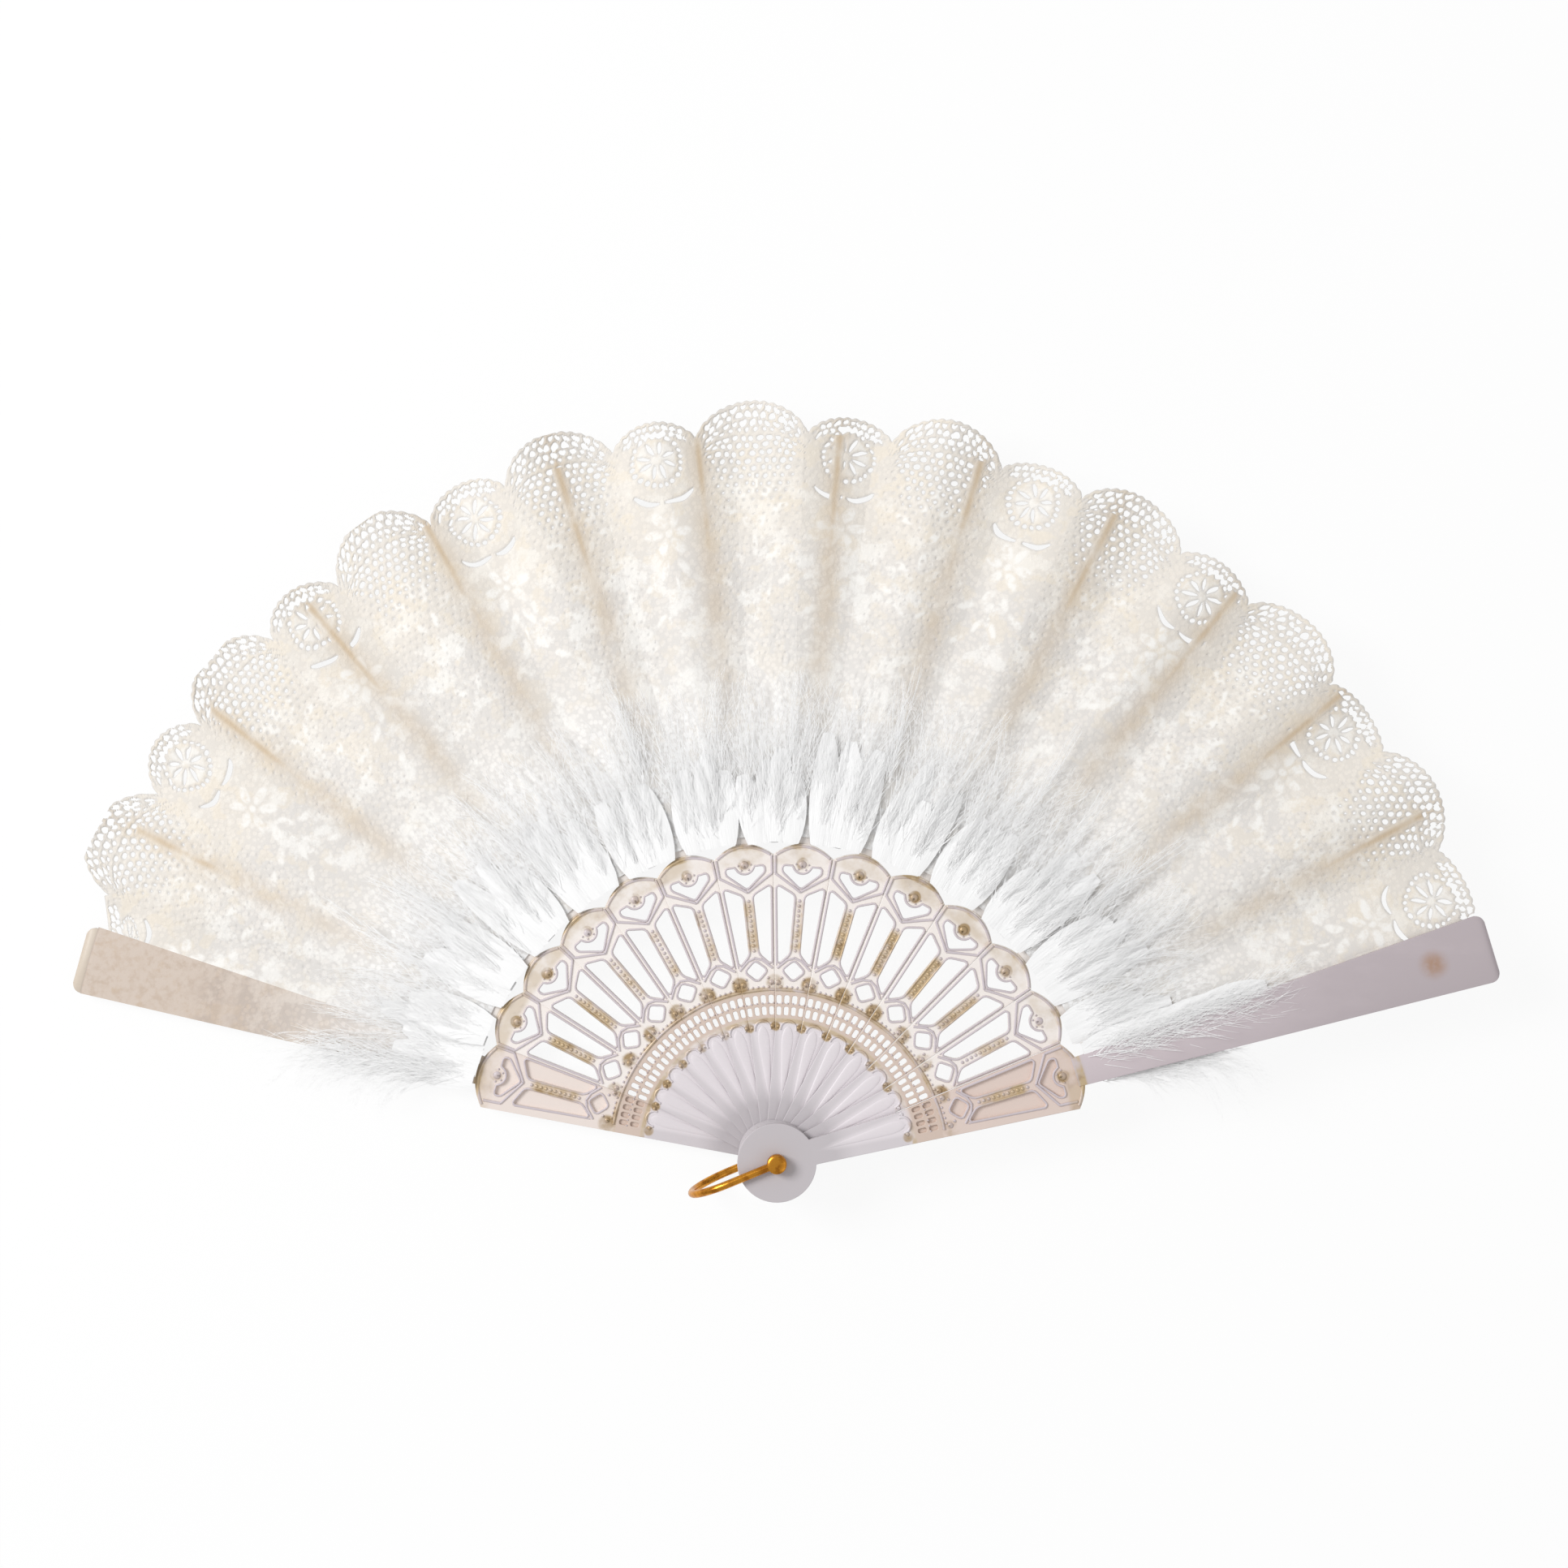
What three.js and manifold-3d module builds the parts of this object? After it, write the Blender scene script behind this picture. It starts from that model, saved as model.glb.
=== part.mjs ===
// A folding hand fan: pierced plastic sticks on a rivet, a pleated lace leaf and marabou down.
// It lies open with its face up. X runs to the right, Y from the rivet to the leaf, Z out of
// the face. The origin is on the rivet's axis, on the flat outside of its back head.
// All lengths are in millimetres.
import * as THREE from 'three';
import { mergeVertices } from 'three/addons/utils/BufferGeometryUtils.js';
import Module from 'manifold-3d';

const wasm = await Module();
wasm.setup();

const degrees = (angle) => THREE.MathUtils.degToRad(angle);

// Driving sizes of the whole fan
const INNER_STICKS = 12;
const FOLD_ANGLE = degrees(11.35);        // between one stick and the next when open
const FRONT_GUARD_ANGLE = degrees(16.9);  // from the X axis to the middle of the front guard
const CLEARANCE = 0.3;                    // between pieces that lie on each other
const OVERRUN = 0.4;                      // how far a cutter or a joined body reaches in
const ARC_STEPS = 6;                      // facets of a quarter turn
const MERGE_DISTANCE = 1e-5;

// Head, shank and stack
const HEAD_RADIUS = 11.6;
const SHANK_HALF_WIDTH = 3.8;
const SHANK_ANGLE = FOLD_ANGLE / 2;
const STICK_THICKNESS = 0.9;
const RIDGE_HEIGHT = 0.2;                 // soft ridge along the middle of each shank
const RIDGE_HALF_WIDTH = 1.7;
const RIDGE_START_RADIUS = 15.5;
const RIDGE_END_RADIUS = 39.5;
const RIDGE_WIDEST_SHARE = 0.75;          // of the way from its start to its end
const GUARD_THICKNESS = 2;
const PIN_RADIUS = 1.5;
const PIN_CLEARANCE = 0.08;
const RIVET_HEAD_RADIUS = 2.7;
const RIVET_HEAD_THICKNESS = 0.9;
const RIVET_DOME_THICKNESS = 0.5;
const RIVET_SHOULDER_SHARE = 0.7;         // of the head's radius, where the dome bends

// Gorge: the pierced paddle of each stick
const GORGE_CORNER_RADIUS = 90.2;
const GORGE_CROWN_RADIUS = 93.6;
const CENTRE_BAR_WIDTH = 3.4;
const EDGE_BAR_WIDTH = 1.05;
const WINDOW_LOW_RADIUS = 57.6;
const WINDOW_FOOT_RISE = 3.2;             // the window's foot is this much higher at the centre bar
const WINDOW_HIGH_RADIUS = 80.6;
const WINDOW_TOP_DROP = 2.6;              // its top is this much lower at the centre bar
const DIAMOND_RADIUS = 55.7;
const DIAMOND_HALF_LENGTH = 2.8;
const DIAMOND_HALF_WIDTH = 3;
const EYE_POINT_RADIUS = 80.3;
const EYE_CORNER_RADIUS = 85;
const EYE_TOP_RADIUS = 86.6;
const EYE_HALF_WIDTH = 5.6;
const PETAL_RADIUS = 3.2;                 // the petal that hangs in the eye
const PETAL_CENTRE_RADIUS = 87.6;
const LATTICE_INNER_RADIUS = 42.4;
const LATTICE_CELL_LENGTH = 2.6;
const LATTICE_BAR = 0.8;
const LATTICE_ROWS = 2;
const LATTICE_CELLS = 4;                  // in each row of each stick
const POCKET_DEPTH = 0.8;                 // the guards are pierced only this deep

// Ribs behind the leaf
const RIB_ROOT_RADIUS = 90.8;
const RIB_TWIST_RADIUS = 97;              // from here on the rib lies along its pleat
const RIB_TIP_RADIUS = 214;
const RIB_ROOT_HALF_WIDTH = 2;
const RIB_TIP_HALF_WIDTH = 1.5;
const RIB_THICKNESS = 0.5;

// Guards
const GUARD_TIP_RADIUS = 218.3;
const GUARD_GORGE_ANGLE = degrees(6.75);  // lower edge of the gorge, from the guard's middle
const BLADE_ANGLE = degrees(2.68);        // half the angle that the blade spans
const BLADE_THICKNESS = 1.5;
const BLADE_ROOT_RADIUS = 91.2;
const BLADE_CORNER_RADIUS = 3;

// Leaf
const CLOTH = 0.35;
const LEAF_INNER_RADIUS = 95.6;
const LEAF_MIDDLE_RADIUS = 160;
const PLEAT_ANGLE = FOLD_ANGLE / 4;       // a fold lies this far to each side of a stick
const PLEAT_INNER_HEIGHT = 0.9;           // from valley to ridge at the inner edge
const PLEAT_OUTER_HEIGHT = 4;             // and at the guards' tip
const CURL_RADIUS = 213.5;                // from here on the lace edge curls up
const CURL_HEIGHT = 1.7;                  // at the big lobes' tips
const NOTCH_RADIUS = 215;                 // between two lobes of the lace edge
const BIG_LOBE_RADIUS = 225;
const SMALL_LOBE_RADIUS = 221;
const LOBE_PAIR_ANGLE = degrees(15.6);
const BIG_LOBE_SHARE = 0.57;              // of the pair's angle
const BIG_LOBE_ANGLE = degrees(92);       // the middle of the big lobe at the top
const LOBE_ROUNDNESS = 0.7;               // 0.5 is half an ellipse, more is a pointed lobe
const LOBE_GROWTH = 2.4;                  // the lobes stand out this much more a radian further left
const EDGE_STEPS = 5;                     // facets of the edge across each panel
const END_STRIP_ANGLE = degrees(1.5);     // the leaf's end goes this far under the front guard

// Marabou down
const DOWN_INNER_RADIUS = 97.2;
const DOWN_OUTER_RADIUS = 147;
const DOWN_LOBE_HEIGHT = 7;
const DOWN_EDGE_THICKNESS = 1.6;
const DOWN_THICKNESS = 6.5;
const DOWN_LOBES = 2;
const DOWN_ROWS = 4;
const DOWN_LOBE_COLUMNS = 4;
const DOWN_ROOT_SHARE = 0.15;             // where the root starts on the swelling's half wave
const DOWN_SIDE_ANGLE = degrees(9.2);     // how far the end tufts stand out below the guards
const DOWN_END_OUTER_RADIUS = 140;
const DOWN_UNDER_ANGLE = degrees(0.8);    // the last tuft starts here under the front guard

// Bail
const WIRE_RADIUS = 1.2;
const BAIL_EYE_RADIUS = 2.9;
const BAIL_REACH = 28.5;                  // from the rivet's axis to the outside of the loop
const BAIL_ANGLE = degrees(202.4);
const WIRE_SIDES = 10;
const WIRE_STEPS = 30;

// Heights of the stack, from the rivet's back head upwards
const BAIL_BACK_LEVEL = RIVET_HEAD_THICKNESS + CLEARANCE;
const BACK_GUARD_LEVEL = BAIL_BACK_LEVEL + 2 * WIRE_RADIUS + CLEARANCE;
const STICK_PITCH = STICK_THICKNESS + RIDGE_HEIGHT + CLEARANCE;
const STICK_LEVEL = BACK_GUARD_LEVEL + GUARD_THICKNESS + RIDGE_HEIGHT + CLEARANCE;
const FRONT_GUARD_LEVEL = STICK_LEVEL + INNER_STICKS * STICK_PITCH;
const BAIL_FRONT_LEVEL = FRONT_GUARD_LEVEL + GUARD_THICKNESS + RIDGE_HEIGHT + CLEARANCE;
const RIVET_FRONT_LEVEL = BAIL_FRONT_LEVEL + 2 * WIRE_RADIUS + CLEARANCE;

// Stick 0 is the back guard and the last one is the front guard.
const LAST = INNER_STICKS + 1;
const stickAngle = (index) => FRONT_GUARD_ANGLE + (LAST - index) * FOLD_ANGLE;
const stickLevel = (index) => STICK_LEVEL + (index - 1) * STICK_PITCH;

const polar = (radius, angle) => new THREE.Vector2(radius * Math.cos(angle), radius * Math.sin(angle));
const mix = THREE.MathUtils.lerp;

// Materials, one for each mesh
const plastic = (color = 0xdcd6de) => new THREE.MeshStandardMaterial({ color, roughness: 0.45 });
const brass = () => new THREE.MeshStandardMaterial({ color: 0xcd9a3c, roughness: 0.3, metalness: 1 });
const lace = () => new THREE.MeshStandardMaterial({ color: 0xede6d8, roughness: 0.9 });
const down = () => new THREE.MeshStandardMaterial({ color: 0xf4f4f8, roughness: 1 });

// Solids
function toManifold(geometry) {
  const bare = geometry.index ? geometry.toNonIndexed() : geometry.clone();
  for (const name of Object.keys(bare.attributes)) {
    if (name !== 'position') bare.deleteAttribute(name);
  }
  const merged = mergeVertices(bare, MERGE_DISTANCE);
  return new wasm.Manifold(new wasm.Mesh({
    numProp: 3,
    vertProperties: new Float32Array(merged.attributes.position.array),
    triVerts: new Uint32Array(merged.index.array),
  }));
}

function toGeometry(solid) {
  const { vertProperties, triVerts } = solid.getMesh();
  const geometry = new THREE.BufferGeometry();
  geometry.setAttribute('position', new THREE.BufferAttribute(new Float32Array(vertProperties), 3));
  geometry.setIndex(new THREE.BufferAttribute(new Uint32Array(triVerts), 1));
  return geometry;
}

function plate(shape, thickness, level = 0) {
  const geometry = new THREE.ExtrudeGeometry(shape, {
    depth: thickness,
    bevelEnabled: false,
    curveSegments: 2 * ARC_STEPS,
  });
  return geometry.translate(0, 0, level);
}

// A closed body from a grid of points above and the same grid of points below.
// Rows and columns run so that rows x columns points up.
function slab(above, below) {
  const rows = above.length;
  const columns = above[0].length;
  const positions = [...above.flat(), ...below.flat()].flatMap((point) => [point.x, point.y, point.z]);
  const top = (row, column) => row * columns + column;
  const bottom = (row, column) => rows * columns + top(row, column);
  const faces = [];
  const quad = (a, b, c, d) => faces.push(a, b, c, a, c, d);
  for (let row = 0; row < rows - 1; row += 1) {
    for (let column = 0; column < columns - 1; column += 1) {
      quad(top(row, column), top(row + 1, column), top(row + 1, column + 1), top(row, column + 1));
      quad(bottom(row, column), bottom(row, column + 1), bottom(row + 1, column + 1),
        bottom(row + 1, column));
    }
  }
  for (let row = 0; row < rows - 1; row += 1) {
    const far = columns - 1;
    quad(top(row, 0), bottom(row, 0), bottom(row + 1, 0), top(row + 1, 0));
    quad(top(row, far), top(row + 1, far), bottom(row + 1, far), bottom(row, far));
  }
  for (let column = 0; column < columns - 1; column += 1) {
    const far = rows - 1;
    quad(top(0, column), top(0, column + 1), bottom(0, column + 1), bottom(0, column));
    quad(top(far, column), bottom(far, column), bottom(far, column + 1), top(far, column + 1));
  }
  const geometry = new THREE.BufferGeometry();
  geometry.setAttribute('position', new THREE.Float32BufferAttribute(positions, 3));
  geometry.setIndex(faces);
  return geometry;
}

// The paddle's outline runs from the shank out along one edge, over the crown and back.
// lowSide is the side that carries a guard's wider gorge: -1, 1, or 0 on an inner stick.
function paddleOutline(lowSide) {
  const edgeAngle = (side) => (side === lowSide ? GUARD_GORGE_ANGLE : SHANK_ANGLE);
  const cornerOf = (side) => polar(GORGE_CORNER_RADIUS, side * edgeAngle(side));
  const shankOf = (side) => {
    const fullRadius = side === lowSide ? HEAD_RADIUS : SHANK_HALF_WIDTH / Math.sin(SHANK_ANGLE);
    return new THREE.Vector2(fullRadius, side * SHANK_HALF_WIDTH);
  };
  const right = cornerOf(-1);
  const left = cornerOf(1);
  const shape = new THREE.Shape();
  const headHalfAngle = Math.asin(SHANK_HALF_WIDTH / HEAD_RADIUS);
  shape.absarc(0, 0, HEAD_RADIUS, headHalfAngle, 2 * Math.PI - headHalfAngle, false);
  shape.lineTo(shankOf(-1).x, shankOf(-1).y);
  shape.lineTo(right.x, right.y);
  addCrown(shape, right, left);
  shape.lineTo(shankOf(1).x, shankOf(1).y);
  shape.closePath();
  return shape;
}

// One arc over the eye, from one corner of the gorge to the other.
function addCrown(shape, right, left) {
  const rise = GORGE_CROWN_RADIUS - (left.x + right.x) / 2;
  for (let step = 1; step <= 2 * ARC_STEPS; step += 1) {
    const share = step / (2 * ARC_STEPS);
    const fromMiddle = 2 * share - 1;
    const across = mix(right.y, left.y, share);
    const along = mix(right.x, left.x, share) + rise * (1 - fromMiddle ** 2);
    shape.lineTo(along, across);
  }
}

function outlineHole(points) {
  const path = new THREE.Path();
  path.setFromPoints(points);
  path.closePath();
  return path;
}

// Half a window lies between the centre bar and the edge bar.
function windowHole(side) {
  const edgeOffset = EDGE_BAR_WIDTH / Math.cos(SHANK_ANGLE);
  const edgeAt = (radius) => radius * Math.tan(SHANK_ANGLE) - edgeOffset;
  const barSide = CENTRE_BAR_WIDTH / 2;
  return outlineHole([
    new THREE.Vector2(WINDOW_LOW_RADIUS + WINDOW_FOOT_RISE, side * barSide),
    new THREE.Vector2(WINDOW_HIGH_RADIUS - WINDOW_TOP_DROP, side * barSide),
    new THREE.Vector2(WINDOW_HIGH_RADIUS, side * edgeAt(WINDOW_HIGH_RADIUS)),
    new THREE.Vector2(WINDOW_LOW_RADIUS, side * edgeAt(WINDOW_LOW_RADIUS)),
  ]);
}

function diamondHole() {
  return outlineHole([
    new THREE.Vector2(DIAMOND_RADIUS - DIAMOND_HALF_LENGTH, 0),
    new THREE.Vector2(DIAMOND_RADIUS, -DIAMOND_HALF_WIDTH),
    new THREE.Vector2(DIAMOND_RADIUS + DIAMOND_HALF_LENGTH, 0),
    new THREE.Vector2(DIAMOND_RADIUS, DIAMOND_HALF_WIDTH),
  ]);
}

// The eye is a pointed opening round a petal that hangs from the crown.
function eyeHole() {
  const points = [
    new THREE.Vector2(EYE_TOP_RADIUS, -EYE_HALF_WIDTH),
    new THREE.Vector2(EYE_CORNER_RADIUS, -EYE_HALF_WIDTH),
    new THREE.Vector2(EYE_POINT_RADIUS, 0),
    new THREE.Vector2(EYE_CORNER_RADIUS, EYE_HALF_WIDTH),
    new THREE.Vector2(EYE_TOP_RADIUS, EYE_HALF_WIDTH),
  ];
  const end = Math.acos((EYE_TOP_RADIUS - PETAL_CENTRE_RADIUS) / PETAL_RADIUS);
  for (let step = 0; step <= ARC_STEPS; step += 1) {
    const angle = mix(end, 2 * Math.PI - end, step / ARC_STEPS);
    const point = polar(PETAL_RADIUS, angle);
    points.push(point.add(new THREE.Vector2(PETAL_CENTRE_RADIUS, 0)));
  }
  return outlineHole(points);
}

// Small cells in rings across the band below the diamonds.
function latticeHoles() {
  const holes = [];
  for (let row = 0; row < LATTICE_ROWS; row += 1) {
    const inner = LATTICE_INNER_RADIUS + row * (LATTICE_CELL_LENGTH + LATTICE_BAR);
    const outer = inner + LATTICE_CELL_LENGTH;
    const step = 2 * SHANK_ANGLE / LATTICE_CELLS;
    const margin = LATTICE_BAR / inner / 2;
    for (let cell = 0; cell < LATTICE_CELLS; cell += 1) {
      const from = -SHANK_ANGLE + cell * step + margin;
      const to = from + step - 2 * margin;
      holes.push(outlineHole([polar(inner, from), polar(outer, from), polar(outer, to), polar(inner, to)]));
    }
  }
  return holes;
}

function pinHole() {
  const path = new THREE.Path();
  path.absarc(0, 0, PIN_RADIUS + PIN_CLEARANCE, 0, 2 * Math.PI, true);
  return path;
}

const gorgeHoles = () => [windowHole(1), windowHole(-1), diamondHole(), eyeHole(), ...latticeHoles()];

// A long low ridge with tapered ends, on top of a shank.
function shankRidge(level) {
  const middle = mix(RIDGE_START_RADIUS, RIDGE_END_RADIUS, RIDGE_WIDEST_SHARE);
  const ring = [
    [RIDGE_START_RADIUS, 0],
    [middle, -RIDGE_HALF_WIDTH],
    [RIDGE_END_RADIUS, 0],
    [middle, RIDGE_HALF_WIDTH],
  ].map(([along, across]) => new THREE.Vector2(along, across));
  return plate(new THREE.Shape(ring), RIDGE_HEIGHT + OVERRUN, level - OVERRUN);
}

// Heights of the pleats: a valley on a stick's clockwise side and a ridge on the other.
const LEAF_ABOVE_STICK = RIB_THICKNESS + CLEARANCE + CLOTH / 2;
const pleatShare = (radius) => (radius - LEAF_INNER_RADIUS) / (GUARD_TIP_RADIUS - LEAF_INNER_RADIUS);
const pleatHeight = (radius) => mix(PLEAT_INNER_HEIGHT, PLEAT_OUTER_HEIGHT, pleatShare(radius));
const leafMiddle = (index) => stickLevel(index) + LEAF_ABOVE_STICK;
const LAYER_GAP = CLEARANCE + CLOTH;
const backBladeTop = (radius) => valleyAt(1, radius) - LAYER_GAP - CLOTH / 2 - CLEARANCE;
const frontBladeUnder = (radius) => leafMiddle(INNER_STICKS) + pleatHeight(radius) / 2
  + LAYER_GAP + CLOTH / 2 + CLEARANCE;

function ridgeAt(index, radius) {
  if (index === 0) return backBladeTop(radius) + CLEARANCE + CLOTH / 2;
  if (index === LAST) return frontBladeUnder(radius) - CLEARANCE - CLOTH / 2;
  return leafMiddle(index) + pleatHeight(radius) / 2;
}

function valleyAt(index, radius) {
  if (index === 0) return backBladeTop(radius) + CLEARANCE + CLOTH / 2;
  return leafMiddle(index) - pleatHeight(radius) / 2;
}

// A thin rib that turns from flat at the gorge to the slope of its pleat.
function ribSolid() {
  const sections = [RIB_ROOT_RADIUS, GORGE_CROWN_RADIUS, RIB_TWIST_RADIUS, RIB_TIP_RADIUS];
  const rows = sections.map((radius) => {
    const share = (radius - RIB_ROOT_RADIUS) / (RIB_TIP_RADIUS - RIB_ROOT_RADIUS);
    const halfWidth = mix(RIB_ROOT_HALF_WIDTH, RIB_TIP_HALF_WIDTH, share);
    const halfPanel = radius * Math.sin(PLEAT_ANGLE);
    const slope = radius < RIB_TWIST_RADIUS ? 0 : pleatHeight(radius) / (2 * halfPanel);
    return { radius, halfWidth, rise: halfWidth * slope };
  });
  const side = (level) => rows.map(({ radius, halfWidth, rise }) => [
    new THREE.Vector3(radius, -halfWidth, level - rise),
    new THREE.Vector3(radius, halfWidth, level + rise),
  ]);
  return slab(side(RIB_THICKNESS), side(0));
}

function innerStick() {
  const outline = paddleOutline(0);
  outline.holes.push(pinHole(), ...gorgeHoles());
  return toGeometry(toManifold(plate(outline, STICK_THICKNESS))
    .add(toManifold(shankRidge(STICK_THICKNESS)))
    .add(toManifold(ribSolid())));
}

// The blade of a guard, between two surfaces whose heights change along it.
function blade(under, upper) {
  const halfWidth = (radius) => radius * Math.tan(BLADE_ANGLE);
  const corner = BLADE_CORNER_RADIUS;
  const sections = [[BLADE_ROOT_RADIUS, 0], [GUARD_TIP_RADIUS - corner, 0]];
  for (let step = 1; step <= ARC_STEPS; step += 1) {
    const turn = step / ARC_STEPS * Math.PI / 2;
    sections.push([GUARD_TIP_RADIUS - corner + corner * Math.sin(turn), corner * (1 - Math.cos(turn))]);
  }
  const side = (height) => sections.map(([radius, inset]) => [
    new THREE.Vector3(radius, inset - halfWidth(radius), height(radius)),
    new THREE.Vector3(radius, halfWidth(radius) - inset, height(radius)),
  ]);
  return slab(side(upper), side(under));
}

// A guard's gorge has the sticks' pattern as shallow pockets in its face.
function guardSolid(lowSide, bladeUnder, bladeUpper) {
  const floor = paddleOutline(lowSide);
  floor.holes.push(pinHole());
  const face = paddleOutline(lowSide);
  face.holes.push(pinHole(), ...gorgeHoles());
  const floorThickness = GUARD_THICKNESS - POCKET_DEPTH;
  return toGeometry(toManifold(plate(floor, floorThickness))
    .add(toManifold(plate(face, GUARD_THICKNESS - floorThickness / 2, floorThickness / 2)))
    .add(toManifold(shankRidge(GUARD_THICKNESS)))
    .add(toManifold(blade(bladeUnder, bladeUpper))));
}

// The lace edge: a big and a small lobe in turn.
function edgeRadius(angle) {
  const turn = (angle - BIG_LOBE_ANGLE) / LOBE_PAIR_ANGLE + BIG_LOBE_SHARE / 2;
  const share = turn - Math.floor(turn);
  const big = share < BIG_LOBE_SHARE;
  const across = big ? share / BIG_LOBE_SHARE : (share - BIG_LOBE_SHARE) / (1 - BIG_LOBE_SHARE);
  const growth = LOBE_GROWTH * (angle - BIG_LOBE_ANGLE);
  const crown = (big ? BIG_LOBE_RADIUS : SMALL_LOBE_RADIUS) + growth;
  return mix(NOTCH_RADIUS, crown, (1 - (2 * across - 1) ** 2) ** LOBE_ROUNDNESS);
}

const curlRise = (radius) => (
  CURL_HEIGHT * (Math.max(radius - CURL_RADIUS, 0) / (BIG_LOBE_RADIUS - CURL_RADIUS)) ** 2);

// One point of the leaf's middle surface between two fold lines, at a radius or at the edge.
function leafPoint(from, to, share, innerRadius) {
  const angle = mix(from.angle, to.angle, share);
  const radius = innerRadius ?? from.edge ?? edgeRadius(angle);
  const at = polar(radius, angle);
  const height = mix(from.height(radius), to.height(radius), share) + curlRise(radius);
  return new THREE.Vector3(at.x, at.y, height);
}

// A gore is the panel glued on one stick and the free panel up to the next stick's ridge.
function goreSolid(index) {
  const side = CLEARANCE / 2 / LEAF_INNER_RADIUS;
  const isFirst = index === 0;
  const bladeEnd = GUARD_TIP_RADIUS - BLADE_CORNER_RADIUS;
  const start = {
    angle: stickAngle(index) + (isFirst ? BLADE_ANGLE : PLEAT_ANGLE) - side,
    height: (radius) => ridgeAt(index, radius),
    edge: isFirst ? bladeEnd : undefined,
  };
  const fold = { angle: stickAngle(index) - PLEAT_ANGLE, height: (radius) => valleyAt(index, radius) };
  const end = {
    angle: stickAngle(index + 1) + PLEAT_ANGLE + side,
    height: (radius) => ridgeAt(index + 1, radius),
  };
  const lines = [[start, fold], [fold, end]];
  if (index + 1 === LAST) lines.push([end, { ...end, angle: end.angle - END_STRIP_ANGLE, edge: bladeEnd }]);
  const columns = lines.flatMap(([from, to], panel) => {
    const steps = Array.from({ length: EDGE_STEPS + 1 }, (_, step) => step / EDGE_STEPS);
    return steps.slice(panel === 0 ? 0 : 1).map((share) => ({ from, to, share }));
  }).reverse();
  const rows = [LEAF_INNER_RADIUS, LEAF_MIDDLE_RADIUS, CURL_RADIUS, undefined];
  const surface = (offset) => rows.map((radius) => columns.map(({ from, to, share }) => {
    const point = leafPoint(from, to, share, radius);
    return point.setZ(point.z + offset);
  }));
  return slab(surface(CLOTH / 2), surface(-CLOTH / 2));
}

// A tuft of down is a soft wedge with a scalloped outer edge. It is flat at its level, and
// swells up from there, or down where upward is -1.
function downSolid(fromAngle, toAngle, outerRadius, level, upward = 1) {
  const columns = DOWN_LOBES * DOWN_LOBE_COLUMNS;
  const at = (row, column, swell) => {
    const across = column / columns;
    const outward = row / DOWN_ROWS;
    const lobe = Math.abs(Math.sin(across * DOWN_LOBES * Math.PI));
    const outer = outerRadius - DOWN_LOBE_HEIGHT * (1 - lobe);
    const radius = mix(DOWN_INNER_RADIUS, outer, outward);
    const wave = Math.sin(mix(DOWN_ROOT_SHARE, 1, outward) * Math.PI);
    const crown = Math.max(Math.sin(across * Math.PI) * wave, 0);
    const place = polar(radius, mix(fromAngle, toAngle, across));
    const rise = swell ? upward * mix(DOWN_EDGE_THICKNESS, DOWN_THICKNESS, crown) : 0;
    return new THREE.Vector3(place.x, place.y, level(radius) + rise);
  };
  const grid = (swell) => Array.from({ length: DOWN_ROWS + 1 }, (_, row) => (
    Array.from({ length: columns + 1 }, (__, column) => at(row, column, swell))));
  return slab(grid(upward > 0), grid(upward < 0));
}

// Bail
function bailSolid() {
  const low = BAIL_BACK_LEVEL + WIRE_RADIUS;
  const high = BAIL_FRONT_LEVEL + WIRE_RADIUS;
  const bend = (high - low) / 2;
  const reach = BAIL_REACH - WIRE_RADIUS;
  const legStart = BAIL_EYE_RADIUS - OVERRUN;
  const path = new THREE.CurvePath();
  const low3 = (along) => new THREE.Vector3(along, 0, low);
  const high3 = (along) => new THREE.Vector3(along, 0, high);
  path.add(new THREE.LineCurve3(low3(legStart), low3(reach - bend)));
  path.add(new HalfTurn(reach - bend, (low + high) / 2, bend));
  path.add(new THREE.LineCurve3(high3(reach - bend), high3(legStart)));
  const wire = new THREE.Shape();
  wire.absarc(0, 0, WIRE_RADIUS, 0, 2 * Math.PI, false);
  const tube = new THREE.ExtrudeGeometry(wire, {
    steps: WIRE_STEPS, extrudePath: path, curveSegments: WIRE_SIDES / 2,
  });
  const eye = new THREE.Shape();
  eye.absarc(0, 0, BAIL_EYE_RADIUS, 0, 2 * Math.PI, false);
  eye.holes.push(pinHole());
  const eyeAt = (level) => toManifold(plate(eye, 2 * WIRE_RADIUS, level));
  return toGeometry(toManifold(tube).add(eyeAt(BAIL_BACK_LEVEL)).add(eyeAt(BAIL_FRONT_LEVEL)));
}

// Half a circle in the XZ plane, from its low end to its high end.
class HalfTurn extends THREE.Curve {
  constructor(along, middle, radius) {
    super();
    Object.assign(this, { along, middle, radius });
  }

  getPoint(share, target = new THREE.Vector3()) {
    const turn = mix(-Math.PI / 2, Math.PI / 2, share);
    return target.set(
      this.along + this.radius * Math.cos(turn),
      0,
      this.middle + this.radius * Math.sin(turn),
    );
  }
}

// Rivet
function rivetHead(isFront) {
  const dome = isFront ? RIVET_DOME_THICKNESS : 0;
  const profile = [
    new THREE.Vector2(0, 0),
    new THREE.Vector2(RIVET_HEAD_RADIUS, 0),
    new THREE.Vector2(RIVET_HEAD_RADIUS, RIVET_HEAD_THICKNESS - dome),
    new THREE.Vector2(
      RIVET_HEAD_RADIUS * RIVET_SHOULDER_SHARE,
      RIVET_HEAD_THICKNESS - dome * (1 - RIVET_SHOULDER_SHARE),
    ),
    new THREE.Vector2(0, RIVET_HEAD_THICKNESS),
  ];
  const steps = 4 * ARC_STEPS;
  return new THREE.LatheGeometry(profile, steps).rotateX(Math.PI / 2);
}

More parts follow.
